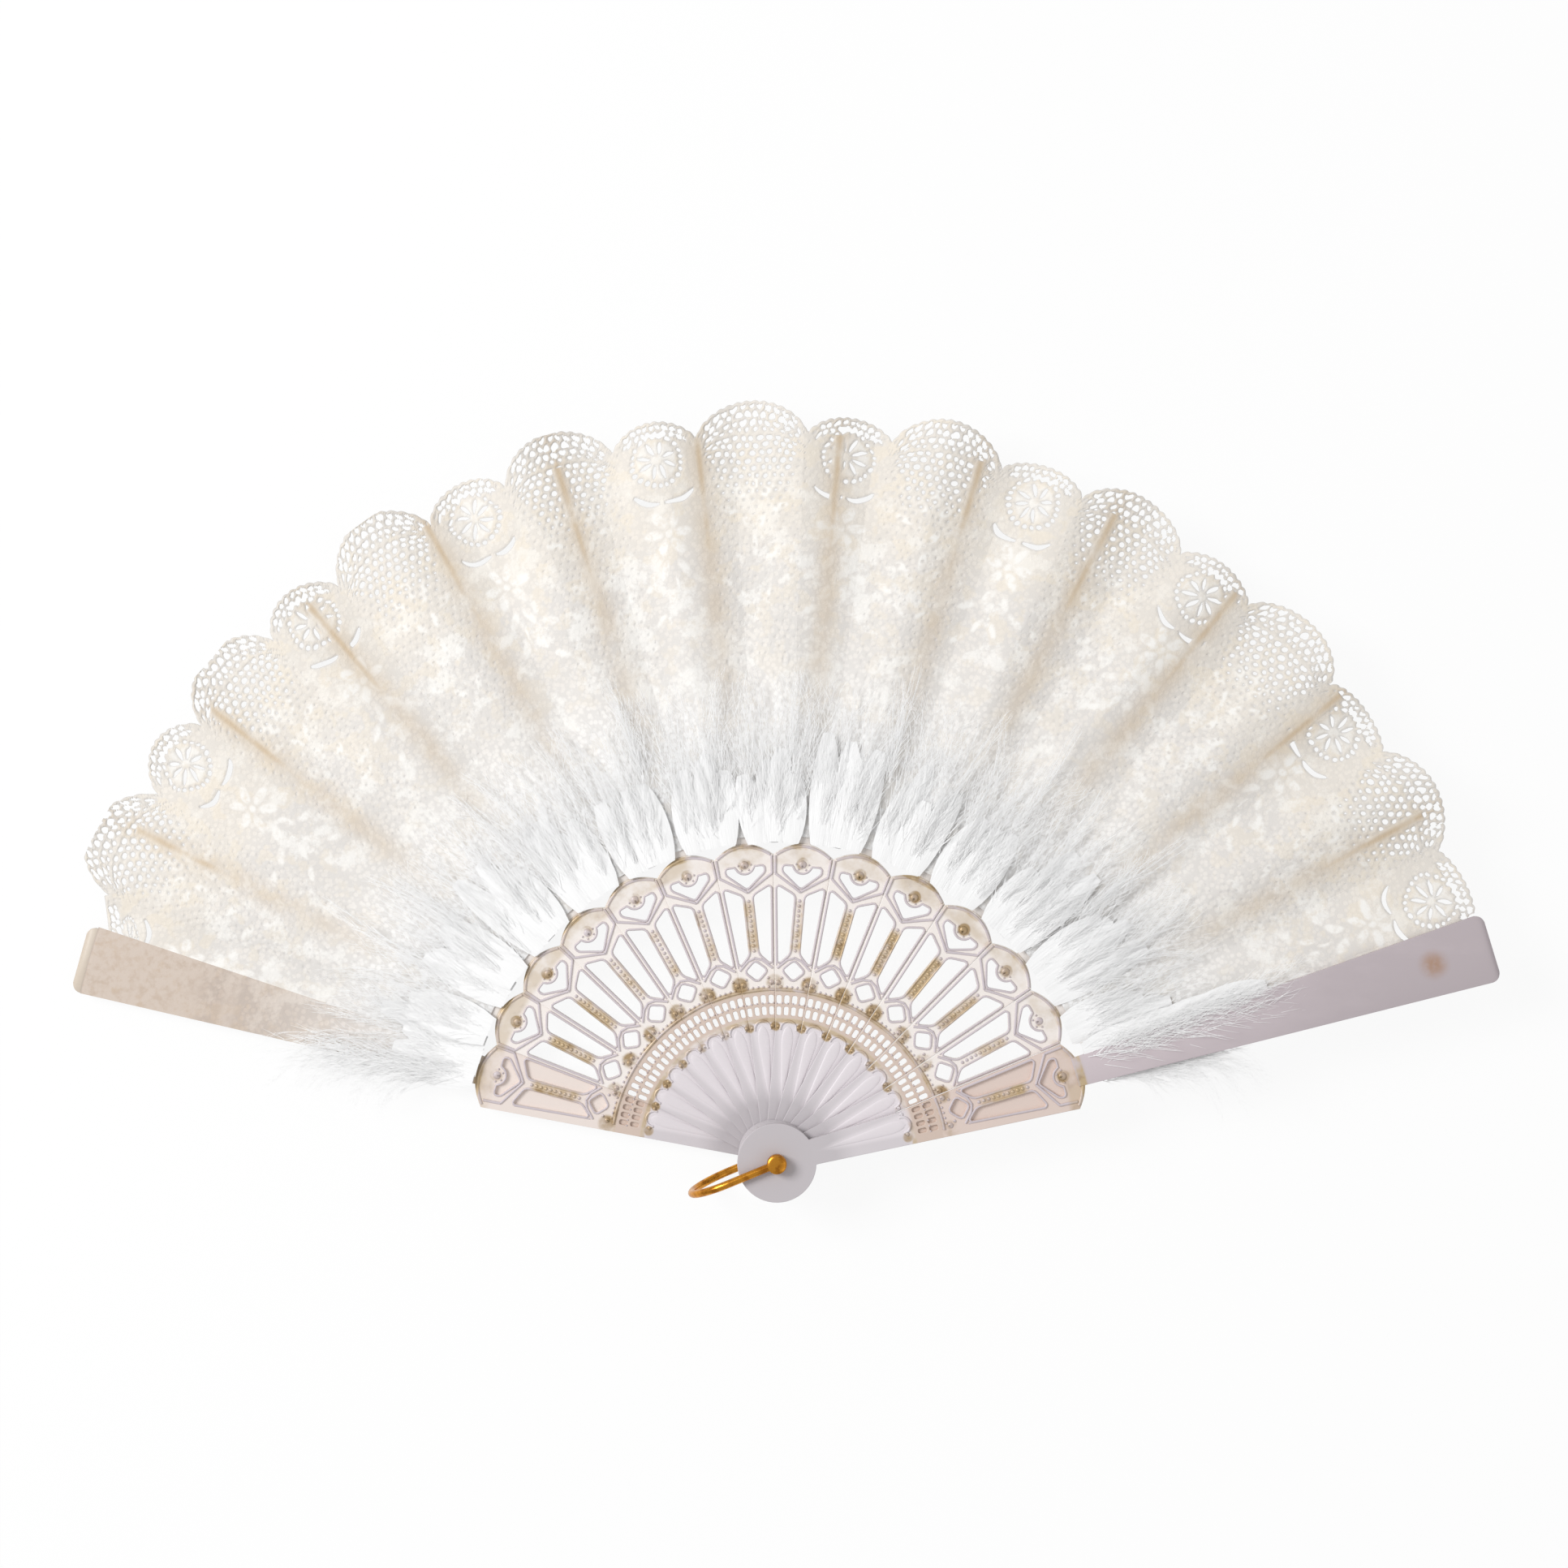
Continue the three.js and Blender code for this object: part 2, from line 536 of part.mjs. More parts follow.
function rivetPin() {
  const length = RIVET_FRONT_LEVEL - RIVET_HEAD_THICKNESS - 2 * CLEARANCE;
  const pin = new THREE.CylinderGeometry(PIN_RADIUS, PIN_RADIUS, length, 4 * ARC_STEPS);
  return pin.rotateX(Math.PI / 2).translate(0, 0, RIVET_HEAD_THICKNESS + CLEARANCE + length / 2);
}

// The fan
const fan = new THREE.Group();

function addPiece(name, geometry, material, angle = 0, level = 0) {
  const mesh = new THREE.Mesh(geometry, material);
  mesh.name = name;
  mesh.rotation.z = angle;
  mesh.position.z = level;
  fan.add(mesh);
}

const number = (value) => String(value).padStart(2, '0');

addPiece('back_guard', guardSolid(
  1,
  (radius) => backBladeTop(radius) - BACK_GUARD_LEVEL - BLADE_THICKNESS,
  (radius) => backBladeTop(radius) - BACK_GUARD_LEVEL,
), plastic(), stickAngle(0), BACK_GUARD_LEVEL);

for (let index = 1; index <= INNER_STICKS; index += 1) {
  addPiece(`stick_${number(index)}`, innerStick(), plastic(), stickAngle(index), stickLevel(index));
}

addPiece('front_guard', guardSolid(
  -1,
  (radius) => frontBladeUnder(radius) - FRONT_GUARD_LEVEL,
  (radius) => frontBladeUnder(radius) - FRONT_GUARD_LEVEL + BLADE_THICKNESS,
), plastic(0xd8d0d8), stickAngle(LAST), FRONT_GUARD_LEVEL);

addPiece('rivet_pin', rivetPin(), brass());
addPiece('rivet_head_back', rivetHead(false), brass());
addPiece('rivet_head_front', rivetHead(true), brass(), 0, RIVET_FRONT_LEVEL);
addPiece('bail', bailSolid(), brass(), BAIL_ANGLE);

for (let index = 0; index <= INNER_STICKS; index += 1) {
  addPiece(`leaf_gore_${number(index + 1)}`, goreSolid(index), lace());
}

// Each inner tuft lies over its stick's two panels. The end tufts stand out past the guards.
const downSide = CLEARANCE / DOWN_INNER_RADIUS;
for (let index = 0; index <= LAST; index += 1) {
  const isBack = index === 0;
  const isFront = index === LAST;
  const middle = stickAngle(index);
  const ccw = middle + (isBack ? DOWN_SIDE_ANGLE : FOLD_ANGLE / 2) - downSide;
  const cw = middle - (isFront ? DOWN_SIDE_ANGLE : FOLD_ANGLE / 2) + downSide;
  const onLeaf = (radius) => Math.max(ridgeAt(index, radius), ridgeAt(Math.min(index + 1, LAST), radius)
    - pleatHeight(radius) / 2) + CLOTH / 2 + CLEARANCE;
  const underGuard = (radius) => frontBladeUnder(radius) - CLEARANCE;
  if (isFront) {
    const under = downSolid(cw, middle + DOWN_UNDER_ANGLE, DOWN_END_OUTER_RADIUS, underGuard, -1);
    addPiece(`marabou_${number(index + 1)}`, under, down());
  } else {
    const outer = isBack ? DOWN_END_OUTER_RADIUS : DOWN_OUTER_RADIUS;
    addPiece(`marabou_${number(index + 1)}`, downSolid(cw, ccw, outer, onLeaf), down());
  }
}

export default fan;
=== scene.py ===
"""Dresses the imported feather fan: moulded sticks with gilding, lace leaf, down and brass."""
import math

import bmesh
import bpy
import numpy as np
from mathutils import Matrix, Vector
from mathutils import noise as perlin


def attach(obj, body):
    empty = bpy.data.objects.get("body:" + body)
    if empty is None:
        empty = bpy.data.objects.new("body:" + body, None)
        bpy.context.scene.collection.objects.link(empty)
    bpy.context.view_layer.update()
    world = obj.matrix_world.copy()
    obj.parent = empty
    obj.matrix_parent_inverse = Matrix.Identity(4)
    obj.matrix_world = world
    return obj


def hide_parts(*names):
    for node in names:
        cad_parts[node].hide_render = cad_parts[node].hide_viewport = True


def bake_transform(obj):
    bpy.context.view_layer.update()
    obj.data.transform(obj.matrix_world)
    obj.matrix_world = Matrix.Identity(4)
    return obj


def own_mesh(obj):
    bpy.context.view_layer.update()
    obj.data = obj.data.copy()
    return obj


bl_info = {
    "name": "Feather Fan",
    "version": (1, 0, 0),
    "blender": (4, 5, 0),
    "location": "3D View > Sidebar > Fan",
    "description": "Builds a folding hand fan with pierced sticks, a lace leaf and marabou down",
    "category": "Add Mesh",
}

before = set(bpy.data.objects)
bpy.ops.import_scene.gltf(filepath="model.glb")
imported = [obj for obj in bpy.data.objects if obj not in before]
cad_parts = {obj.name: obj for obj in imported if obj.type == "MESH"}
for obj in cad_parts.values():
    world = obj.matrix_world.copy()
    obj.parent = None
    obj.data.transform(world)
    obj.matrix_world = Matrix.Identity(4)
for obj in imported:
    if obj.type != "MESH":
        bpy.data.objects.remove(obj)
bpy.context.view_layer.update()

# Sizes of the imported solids, in millimetres and radians
MM = 0.001
INNER_STICKS = 12
LAST = INNER_STICKS + 1
FOLD_ANGLE = math.radians(11.35)
FRONT_GUARD_ANGLE = math.radians(16.9)
SHANK_ANGLE = FOLD_ANGLE / 2
SLOPE = math.tan(SHANK_ANGLE)
HEAD_RADIUS, SHANK_HALF_WIDTH = 11.6, 3.8
STICK_THICKNESS, RIDGE_HEIGHT, GUARD_THICKNESS = 0.9, 0.2, 2.0
CLEARANCE = 0.3
CORNER_RADIUS, CROWN_RADIUS = 90.2, 93.6
CENTRE_BAR, EDGE_BAR = 3.4, 1.05
WINDOW_LOW, WINDOW_HIGH = 57.6, 80.6
WINDOW_FOOT, WINDOW_DROP = 3.2, 2.6
DIAMOND = (55.7, 2.8, 3.0)
EYE_POINT, EYE_CORNER, EYE_TOP, EYE_HALF = 80.3, 85.0, 86.6, 5.6
PETAL_RADIUS, PETAL_CENTRE = 3.2, 87.6
LATTICE_INNER, LATTICE_CELL, LATTICE_BAR = 42.4, 2.6, 0.8
LATTICE_ROWS, LATTICE_COLUMNS = 2, 4
POCKET_DEPTH, FACE_OVERLAP = 0.8, 0.4
RIDGE_START, RIDGE_LENGTH, RIDGE_WIDTH = 15.5, 24, 1.75
RIB_START, RIB_FREE, RIB_TIP = 90.8, 97.0, 214.0
RIB_HALF_WIDTHS, RIB_THICKNESS = (2.0, 1.5), 0.5
GUARD_TIP, GUARD_GORGE_ANGLE = 218.3, math.radians(6.75)
BLADE_ANGLE, BLADE_THICKNESS = math.radians(2.68), 1.5
BLADE_ROOT, BLADE_CORNER = 91.2, 3.0
BLADE_END = GUARD_TIP - BLADE_CORNER
CLOTH = 0.35
LEAF_INNER = 95.6
PLEAT_ANGLE, PLEAT_HEIGHTS = FOLD_ANGLE / 4, (0.9, 4.0)
CURL_RADIUS, CURL_HEIGHT = 213.5, 1.7
NOTCH_RADIUS, BIG_LOBE, SMALL_LOBE = 215.0, 225.0, 221.0
LOBE_PAIR_ANGLE, BIG_SHARE = math.radians(15.6), 0.57
BIG_LOBE_ANGLE, END_LOBE_ANGLE = math.radians(92), math.radians(159)
LOBE_ROUNDNESS, LOBE_GROWTH = 0.7, 2.4
STRIP_ANGLE, TURNING_STRIP = math.radians(1.5), 13.0
DOWN_INNER, DOWN_OUTER, DOWN_END_OUTER = 97.2, 147.0, 140.0
WIRE_RADIUS, WIRE_SHARE, EYE_RING = 1.2, 0.97, 2.9
BAIL_START, BAIL_REACH, BAIL_ANGLE = 2.3, 28.5, math.radians(202.4)
PIN_RADIUS, RIVET_HEAD, RIVET_THICKNESS = 1.5, 2.7, 0.9
BAIL_BACK = RIVET_THICKNESS + CLEARANCE
BACK_GUARD_LEVEL = BAIL_BACK + 2 * WIRE_RADIUS + CLEARANCE
STICK_PITCH = STICK_THICKNESS + RIDGE_HEIGHT + CLEARANCE
STICK_LEVEL = BACK_GUARD_LEVEL + GUARD_THICKNESS + RIDGE_HEIGHT + CLEARANCE
FRONT_GUARD_LEVEL = STICK_LEVEL + INNER_STICKS * STICK_PITCH
BAIL_FRONT = FRONT_GUARD_LEVEL + GUARD_THICKNESS + RIDGE_HEIGHT + CLEARANCE
RIVET_FRONT = BAIL_FRONT + 2 * WIRE_RADIUS + CLEARANCE
SOLID = 9.0  # a distance to the nearest hole that counts as far
PICOT_HEIGHT, BIG_PICOTS, SMALL_PICOTS = 0.55, 13, 10
END_EDGE, END_EDGE_SLOPE = 216.5, 95
FLOWER_DEPTH, FLOWER_PETALS, SATIN_RADIUS = 11.4, 8, 188
GLUE_HALF_WIDTH, GLUE_EDGE, BRAID_RADIUS = 1.7, 1.9, 171
TURNING_RADIUS, SQUASH_RADIUS, SPREAD_RADIUS = 150.0, 120.0, 105
GUARD_DOWN_OUTER, PUFF_HALF_WIDTH = 164, 4.2
FLOOR_HALF_WIDTH, FLOOR_LEVEL = 4000, -0.2
CAMERA_LENS, CAMERA_PLACE = 55.28, (0.0021, 0.111, 0.730)
LAMPS = (("key", (-1.0, 0.5, 1.05), 0.6, 15.1), ("fill", (0.9, -0.4, 1.2), 1.2, 2.5))


def stick_angle(index):
    """A stick's middle line. Index 0 is the back guard and LAST the front guard."""
    return FRONT_GUARD_ANGLE + (LAST - index) * FOLD_ANGLE


def stick_level(index):
    ends = {0: BACK_GUARD_LEVEL, LAST: FRONT_GUARD_LEVEL}
    return ends.get(index, STICK_LEVEL + (index - 1) * STICK_PITCH)


def body_name(index):
    return {0: "back_guard", LAST: "front_guard"}.get(index, f"stick_{index:02d}")


def mix(low, high, share):
    return low + (high - low) * share


def smooth_step(low, high, value):
    share = np.clip((value - low) / (high - low), 0, 1)
    return share * share * (3 - 2 * share)


def srgb(*values):
    """Linear colour from sRGB values of up to 255."""
    shares = (value / 255 for value in values)
    return tuple(v / 12.92 if v <= 0.04045 else ((v + 0.055) / 1.055) ** 2.4 for v in shares)


# Heights of the pleats
def pleat_height(radius):
    return mix(*PLEAT_HEIGHTS, (radius - LEAF_INNER) / (GUARD_TIP - LEAF_INNER))


def leaf_middle(index):
    return stick_level(index) + RIB_THICKNESS + CLEARANCE + CLOTH / 2


def valley_at(index, radius):
    if index == 0:
        return back_blade_top(radius) + CLEARANCE + CLOTH / 2
    return leaf_middle(index) - pleat_height(radius) / 2


def ridge_at(index, radius):
    if index == 0:
        return valley_at(0, radius)
    if index == LAST:
        return front_blade_under(radius) - CLEARANCE - CLOTH / 2
    return leaf_middle(index) + pleat_height(radius) / 2


def back_blade_top(radius):
    return valley_at(1, radius) - 2 * CLEARANCE - 1.5 * CLOTH


def front_blade_under(radius):
    return ridge_at(INNER_STICKS, radius) + 2 * CLEARANCE + 1.5 * CLOTH


def curl_rise(radius):
    return CURL_HEIGHT * (np.maximum(radius - CURL_RADIUS, 0) / (BIG_LOBE - CURL_RADIUS)) ** 2


# Sizes and colours that the panel shows
def length(name, description, value):
    return bpy.props.FloatProperty(name=name, description=description, default=value * MM, unit="LENGTH")


def number(name, description, value, **limits):
    return bpy.props.FloatProperty(name=name, description=description, default=value, **limits)


def colour(name, description, *value):
    return bpy.props.FloatVectorProperty(
        name=name, description=description, default=srgb(*value), size=3, subtype="COLOR", min=0, max=1)


class FanSizes(bpy.types.PropertyGroup):
    edge: length("Moulded edge", "Radius of the moulded plastic's edges", 0.16)
    rim: length("Rim", "Radius of the raised rims round the openings", 0.36)
    bead: length("Bead", "Radius of the gilded beads", 0.6)
    bead_pitch: length("Bead pitch", "Distance from one bead to the next", 1.45)
    net_pitch: number("Net pitch", "Distance between the lace's holes", 2.6, min=1.5)
    net_hole: number("Net hole", "Radius of a hole in the lace", 0.82, min=0.2)
    lace_cell: number("Lace cell", "Size of the lace mesh's cells at its edge", 0.45, min=0.3)
    soft_fold: number("Soft fold", "How round the pleats' folds are", 0.7, min=0, max=0.8)
    barb_length: length("Barb length", "Length of one hair of the down", 11)
    barb_width: length("Barb width", "Width of one hair of the down", 0.2)
    barb_pitch: length("Barb pitch", "Distance between hairs along a shaft", 1.6)
    plumes: bpy.props.IntProperty(name="Plumes", description="Plumes in each tuft of down", default=14, min=1)
    seed: bpy.props.IntProperty(name="Seed", description="Seed of all that is scattered", default=7)


class FanColours(bpy.types.PropertyGroup):
    ivory: colour("Ivory", "Moulded plastic of the shanks and heads", 236, 229, 233)
    cream: colour("Cream", "Moulded plastic of the pierced gorge", 244, 237, 232)
    aged: colour("Aged", "The same plastic in the gorge of a guard, yellowed with age", 224, 206, 197)
    # Painted shade: this greyer colour on the raised rims stands in for the shadow lines round the openings.
    rim: colour("Rim", "Raised rims of the gorge", 205, 195, 201)
    lattice: colour("Lattice", "Tinted band of square holes", 211, 191, 178)
    gilding: colour("Gilding", "Gold paint on the ornament", 205, 182, 146)
    bronze: colour("Bronze", "Dark patches in the gold paint", 166, 138, 99)
    front_blade: colour("Front blade", "Moulded plastic of the front guard's blade", 191, 180, 184)
    back_blade: colour("Back blade", "Lace-covered blade of the back guard", 206, 193, 178)
    stain: colour("Stain", "Copper stain near the tip of the front blade", 172, 130, 96)
    brass: colour("Brass", "Bail and rivet", 219, 150, 52)
    lace: colour("Lace", "The leaf's cloth", 237, 232, 226)
    satin: colour("Satin", "Raised white leaves of the lace", 247, 245, 241)
    petal: colour("Petal", "Petals and scallops of the lace", 238, 228, 212)
    thread: colour("Thread", "Shaded thread round the lace's holes", 218, 215, 212)
    # Partly painted shade: besides the glue stain, this tan draws a broad soft band of shade where a rib lies
    # behind the lace.
    glue: colour("Glue", "Stained lines where the leaf is glued on the ribs", 212, 192, 165)
    down: colour("Down", "Marabou down", 252, 252, 252)


# Node trees
class Value:
    """A node's output. Sums of values and numbers add math nodes."""

    def __init__(self, tree, socket):
        self.tree, self.socket = tree, socket

    def out(self, key):
        """Another output of the same node."""
        return Value(self.tree, self.socket.node.outputs[key])

    def math(self, operation, first, second=0.5, clamp=False):
        return add(self.tree, "ShaderNodeMath", {0: first, 1: second}, operation=operation, use_clamp=clamp)

    def __add__(self, other):
        return self.math("ADD", self, other)

    def __sub__(self, other):
        return self.math("SUBTRACT", self, other)

    def __rsub__(self, other):
        return self.math("SUBTRACT", other, self)

    def __mul__(self, other):
        return self.math("MULTIPLY", self, other)

    def __abs__(self):
        return self.math("ABSOLUTE", self)

    def root(self):
        return self.math("SQRT", self)

    def largest(self, *others):
        result = self
        for other in others:
            result = self.math("MAXIMUM", result, other)
        return result


def plug(tree, socket, value):
    """Links a socket to a value, or gives it a plain number, colour or datablock."""
    if isinstance(value, Value):
        tree.links.new(value.socket, socket)
    else:
        socket.default_value = value


def add(tree, kind, inputs=None, output=0, **settings):
    """Adds a node with its settings and inputs, and returns one of its outputs."""
    node = tree.nodes.new(kind)
    for key, value in settings.items():
        setattr(node, key, value)
    for key, value in (inputs or {}).items():
        plug(tree, node.inputs[key], value)
    return Value(tree, node.outputs[output])


def shaded(tone, *shares):
    return [part * share for part, share in zip(tone, shares * (3 // len(shares)))]


class Look:
    """A material in the making. Each coat of paint covers its tone by a factor."""

    def __init__(self, name, tone):
        self.material = bpy.data.materials.new(name)
        self.material.use_nodes = True
        self.tree = self.material.node_tree
        self.shader = self.tree.nodes["Principled BSDF"]
        self.tone = tone

    def add(self, *what, **settings):
        return add(self.tree, *what, **settings)

    def blend(self, factor, first, second, kind="MIX"):
        first, second = (tone if isinstance(tone, Value) else (*tone, 1) for tone in (first, second))
        return self.add("ShaderNodeMix", {0: factor, 6: first, 7: second}, 2, data_type="RGBA", blend_type=kind)

    def paint(self, factor, tone, kind="MIX"):
        self.tone = self.blend(factor, self.tone, tone, kind)

    def ramp(self, value, low, high):
        return self.add("ShaderNodeMapRange", {"Value": value, "From Min": low, "From Max": high},
                        interpolation_type="SMOOTHSTEP")

    def between(self, value, low, high, first=0.0, last=1.0):
        """Low to high as the value goes from first to last."""
        return self.add("ShaderNodeMapRange", {
            "Value": value, "From Min": first, "From Max": last, "To Min": low, "To Max": high})

    def band(self, value, low, high, soft):
        """One between low and high, fading to nought over soft on either side."""
        return self.ramp(value, low - soft, low + soft) * (1 - self.ramp(value, high - soft, high + soft))

    def spot(self, along, across, middle, size, core=0.75):
        """One within the core's share of a size round a place, fading out just past the size."""
        apart = along - middle
        return 1 - self.ramp((apart * apart + across * across).root(), size * core, size * 1.2)

    def place(self):
        return self.add("ShaderNodeTexCoord", None, "Object")

    def far(self):
        """The distance from the pivot's foot."""
        return self.add("ShaderNodeVectorMath", {0: self.place()}, "Value", operation="LENGTH")

    def noise(self, scale, detail=3.0, roughness=0.55, stretch=None):
        place = self.place()
        if stretch:
            place = self.add("ShaderNodeMapping", {"Vector": place, "Scale": stretch})
        return self.add("ShaderNodeTexNoise", {
            "Vector": place, "Scale": scale, "Detail": detail, "Roughness": roughness})

    def attribute(self, name, output="Fac"):
        return self.add("ShaderNodeAttribute", None, output, attribute_name=name)

    def finish(self, relief, strength, distance, inputs):
        """Sets the shader's inputs, with a relief for its bump, and returns the material."""
        normal = self.add("ShaderNodeBump", {"Height": relief, "Strength": strength, "Distance": distance})
        for key, value in {"Base Color": self.tone, "Normal": normal, **inputs}.items():
            plug(self.tree, self.shader.inputs[key], value)
        return self.material


def gilt_parts(look, radius, side, edge):
    """Where the gorge is painted gold: full strength, and the darker spots between the sticks."""
    bar = look.band(radius, 62, 76, 1.5) * (1 - look.ramp(side, 1.2, 1.9))
    crown, bead = look.band(radius, 87.6, 93.8, 1.0) * 0.5, look.band(radius, 91.6, 93.8, 0.4)
    rings = look.band(radius, 49.3, 50.7, 0.35).largest(look.band(radius, 40.2, 41.6, 0.4))
    dots = look.spot(radius, edge, 52.0, 2.6).largest(
        look.spot(radius, edge, 39.2, 1.5), look.spot(radius, side, 87.7, 2.0))
    return bar.largest(crown, bead, rings * 0.85, dots), dots


def plastic_material(name, colours, blade=None, age=0.0):
    """Moulded plastic. Its place attribute tells how far along the stick a point lies, so that
    the gorge is creamier and gilded, the raised rims are greyer with painted shade, the shank is darker with
    painted shade beside its edges and round the head, and a blade has its own colour."""
    look = Look(name, colours.ivory)
    place = look.add("ShaderNodeSeparateXYZ", {0: look.attribute("place", "Vector")})
    x, y, height = (place.out(axis) for axis in "XYZ")
    side, radius = abs(y), (x * x + y * y).root()
    edge = radius * SLOPE - side
    look.paint(look.noise(30, 3) * 0.6, shaded(colours.ivory, 0.88))
    # Painted shade: the shank is darkened beside its edges, where the next stick overlaps it, and round the
    # head at the pivot.
    painted_groove_shade = (1 - look.ramp(edge, 0.0, 1.5)) * look.band(radius, 13, 40, 1.5)
    look.paint(painted_groove_shade * 0.4 + (1 - look.ramp(radius, 10.5, 25) * 0.84), shaded(colours.ivory, 0.66))
    cream = [mix(*tones, age) for tones in zip(colours.cream, colours.aged)]
    look.paint(look.band(radius, 41, 100, 1.5), cream)
    look.paint(look.band(radius, 41.5, 49.5, 0.5) * 0.9, colours.lattice)
    # Painted shade: the raised relief of the gorge takes the greyer rim colour.
    look.paint(look.ramp(height, 0.06, 0.2) * look.band(radius, 40, 96, 1) * 0.9, colours.rim)
    gilt, dots = gilt_parts(look, radius, side, edge)
    patches = look.noise(110, 4, 0.6) * 0.55 + look.noise(24, 2) * 0.45
    cover = gilt * look.ramp(patches, 0.4, 0.58) * look.ramp(height, -0.75, -0.4)
    rubbed = look.ramp(look.noise(230, 3), 0.5, 0.68) * 0.75
    look.paint(cover, look.blend((dots * 0.7).largest(rubbed), colours.gilding, colours.bronze))
    if blade:
        look.paint(look.ramp(radius, 93.5, 96), blade_tone(look, radius, side, blade, colours))
    fine = look.noise(900, 3)
    return look.finish(fine, 0.25, 0.08 * MM, {
        "Metallic": cover * 0.35, "Roughness": look.between(fine, 0.34, 0.52)})


def blade_tone(look, radius, side, blade, colours):
    """A guard's blade, paler at its root, streaked along its length, with a stain near its tip."""
    clouds = (look.noise(60, 4, 0.6, (1, 2.2, 1)) - 0.5) * 0.9
    along = clouds.math("ADD", look.ramp(radius, 95, 190), clouds, True)
    tone = look.blend(along, [min(part * 1.2, 1) for part in blade], shaded(blade, 0.97))
    if blade != colours.front_blade:
        return tone
    stain = look.spot(radius, side, 200.5, 4.6, 0.1) * 0.8 * look.ramp(look.noise(260, 3), 0.1, 0.65)
    return look.blend(stain, tone, colours.stain)


def brass_material(colours):
    look = Look("polished_brass", colours.brass)
    look.paint(look.ramp(look.noise(420, 4), 0.42, 0.7), shaded(colours.brass, 0.6, 0.5, 0.4))
    scratches = look.noise(900, 2, 0.6, (1, 6, 1))
    return look.finish(scratches, 0.2, 0.05 * MM, {
        "Metallic": 0.9, "Roughness": look.between(scratches, 0.16, 0.38)})


def lace_material(colours):
    """Thread round the holes with painted shade, petals, glue stains with painted shade of the ribs behind, and
    a fine weave, from the mesh's attributes.
    """
    look = Look("woven_lace", colours.lace)
    far, petal = look.far(), look.attribute("petal")
    look.paint(look.ramp(look.noise(60, 4, 0.6), 0.35, 0.7), shaded(colours.lace, 0.93))
    look.paint(look.ramp(far, 0.16, 0.115), colours.down)
    net = look.add("ShaderNodeTexVoronoi", {"Vector": look.place(), "Scale": 640.0})
    net = look.ramp(net, 0.3, 0.62) * (1 - petal)
    look.paint(net * 0.55, colours.thread)
    brocade = look.ramp(look.noise(150, 3, 0.5), 0.52, 0.6)
    look.paint(brocade * look.between(far, 0.2, 0.55, 0.14, 0.19), colours.petal)
    patches = look.ramp(look.noise(105, 5, 0.68), 0.5, 0.62) * look.band(far, 0.135, 0.205, 0.008)
    look.paint(patches * 0.75, colours.satin)
    look.paint(look.ramp(far, 0.176, 0.192) * 0.3, colours.petal)
    look.paint(petal * look.ramp(look.noise(420, 3, 0.6), 0.3, 0.6), colours.satin)
    # Partly glue stain and partly painted shade of the rib behind the lace.
    look.paint(look.attribute("glue") * look.ramp(look.noise(90, 3), 0.1, 0.62), colours.glue)
    # Painted shade: the thread is darkened towards the edge of each hole.
    look.paint(look.attribute("thread"), colours.thread)
    look.paint(look.attribute("backed") * look.ramp(far, 0.09, 0.19), (0.68, 0.59, 0.53), "MULTIPLY")
    relief = look.noise(2400, 2) * 0.4 + look.attribute("pile") + net * 0.35
    return look.finish(relief, 0.6, 0.22 * MM, {
        "Roughness": 0.82, "Sheen Weight": 0.2, "Sheen Roughness": 0.5})


def down_material(colours):
    """Hairs so fine that they shade as one soft pile, with faint streaks that run outwards."""
    look = Look("marabou_down", colours.down)
    axes = look.add("ShaderNodeSeparateXYZ", {0: look.place()})
    turn = axes.math("ARCTAN2", axes.out("Y"), axes.out("X"))
    streak = look.add("ShaderNodeCombineXYZ", {"X": turn * 110.0, "Y": look.far() * 90.0, "Z": 0.0})
    strands = look.add("ShaderNodeTexNoise", {"Vector": streak, "Scale": 1.6, "Detail": 4.0})
    look.paint(look.ramp(strands, 0.6, 0.3), shaded(colours.down, 0.97))
    return look.finish(strands, 0.3, 0.5 * MM, {"Roughness": 0.9})


# Meshes
def new_mesh(name, points, groups, attributes=None, smooth=True):
    """A mesh from points in millimetres and one or more arrays of faces with equal counts."""
    groups = groups if isinstance(groups, list) else [groups]
    mesh = bpy.data.meshes.new(name)
    points = np.asarray(points, np.float32) * MM
    mesh.vertices.add(len(points))
    mesh.vertices.foreach_set("co", points.ravel())
    corners = np.concatenate([np.asarray(group).ravel() for group in groups]).astype(np.int32)
    counts = np.concatenate([np.full(len(group), np.shape(group)[1]) for group in groups])
    mesh.loops.add(len(corners))
    mesh.loops.foreach_set("vertex_index", corners)
    mesh.polygons.add(len(counts))
    mesh.polygons.foreach_set("loop_start", np.concatenate([[0], np.cumsum(counts)[:-1]]).astype(np.int32))
    mesh.update(calc_edges=True)
    mesh.polygons.foreach_set("use_smooth", np.full(len(counts), smooth))
    for key, values in (attributes or {}).items():
        mesh.attributes.new(key, "FLOAT", "POINT").data.foreach_set("value", values.astype(np.float32))
    return mesh


def new_object(name, data):
    piece = bpy.data.objects.new(name, data)
    bpy.context.scene.collection.objects.link(piece)
    return piece


def coat(mesh, material):
    mesh.materials.clear()
    mesh.materials.append(material)


def new_piece(name, mesh, body, material=None, replaces=()):
    piece = new_object(name, mesh)
    if material:
        coat(mesh, material)
    if body:
        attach(piece, body)
    if replaces:
        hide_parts(*replaces)
    return piece


def points_of(mesh):
    points = np.empty(len(mesh.vertices) * 3, np.float32)
    mesh.vertices.foreach_get("co", points)
    return points.reshape(-1, 3) / MM


def baked(piece, name):
    """The mesh that an object's modifiers or curve give, with the object removed."""
    graph = bpy.context.evaluated_depsgraph_get()
    mesh = bpy.data.meshes.new_from_object(piece.evaluated_get(graph), depsgraph=graph)
    mesh.name = name
    bpy.data.objects.remove(piece)
    return mesh


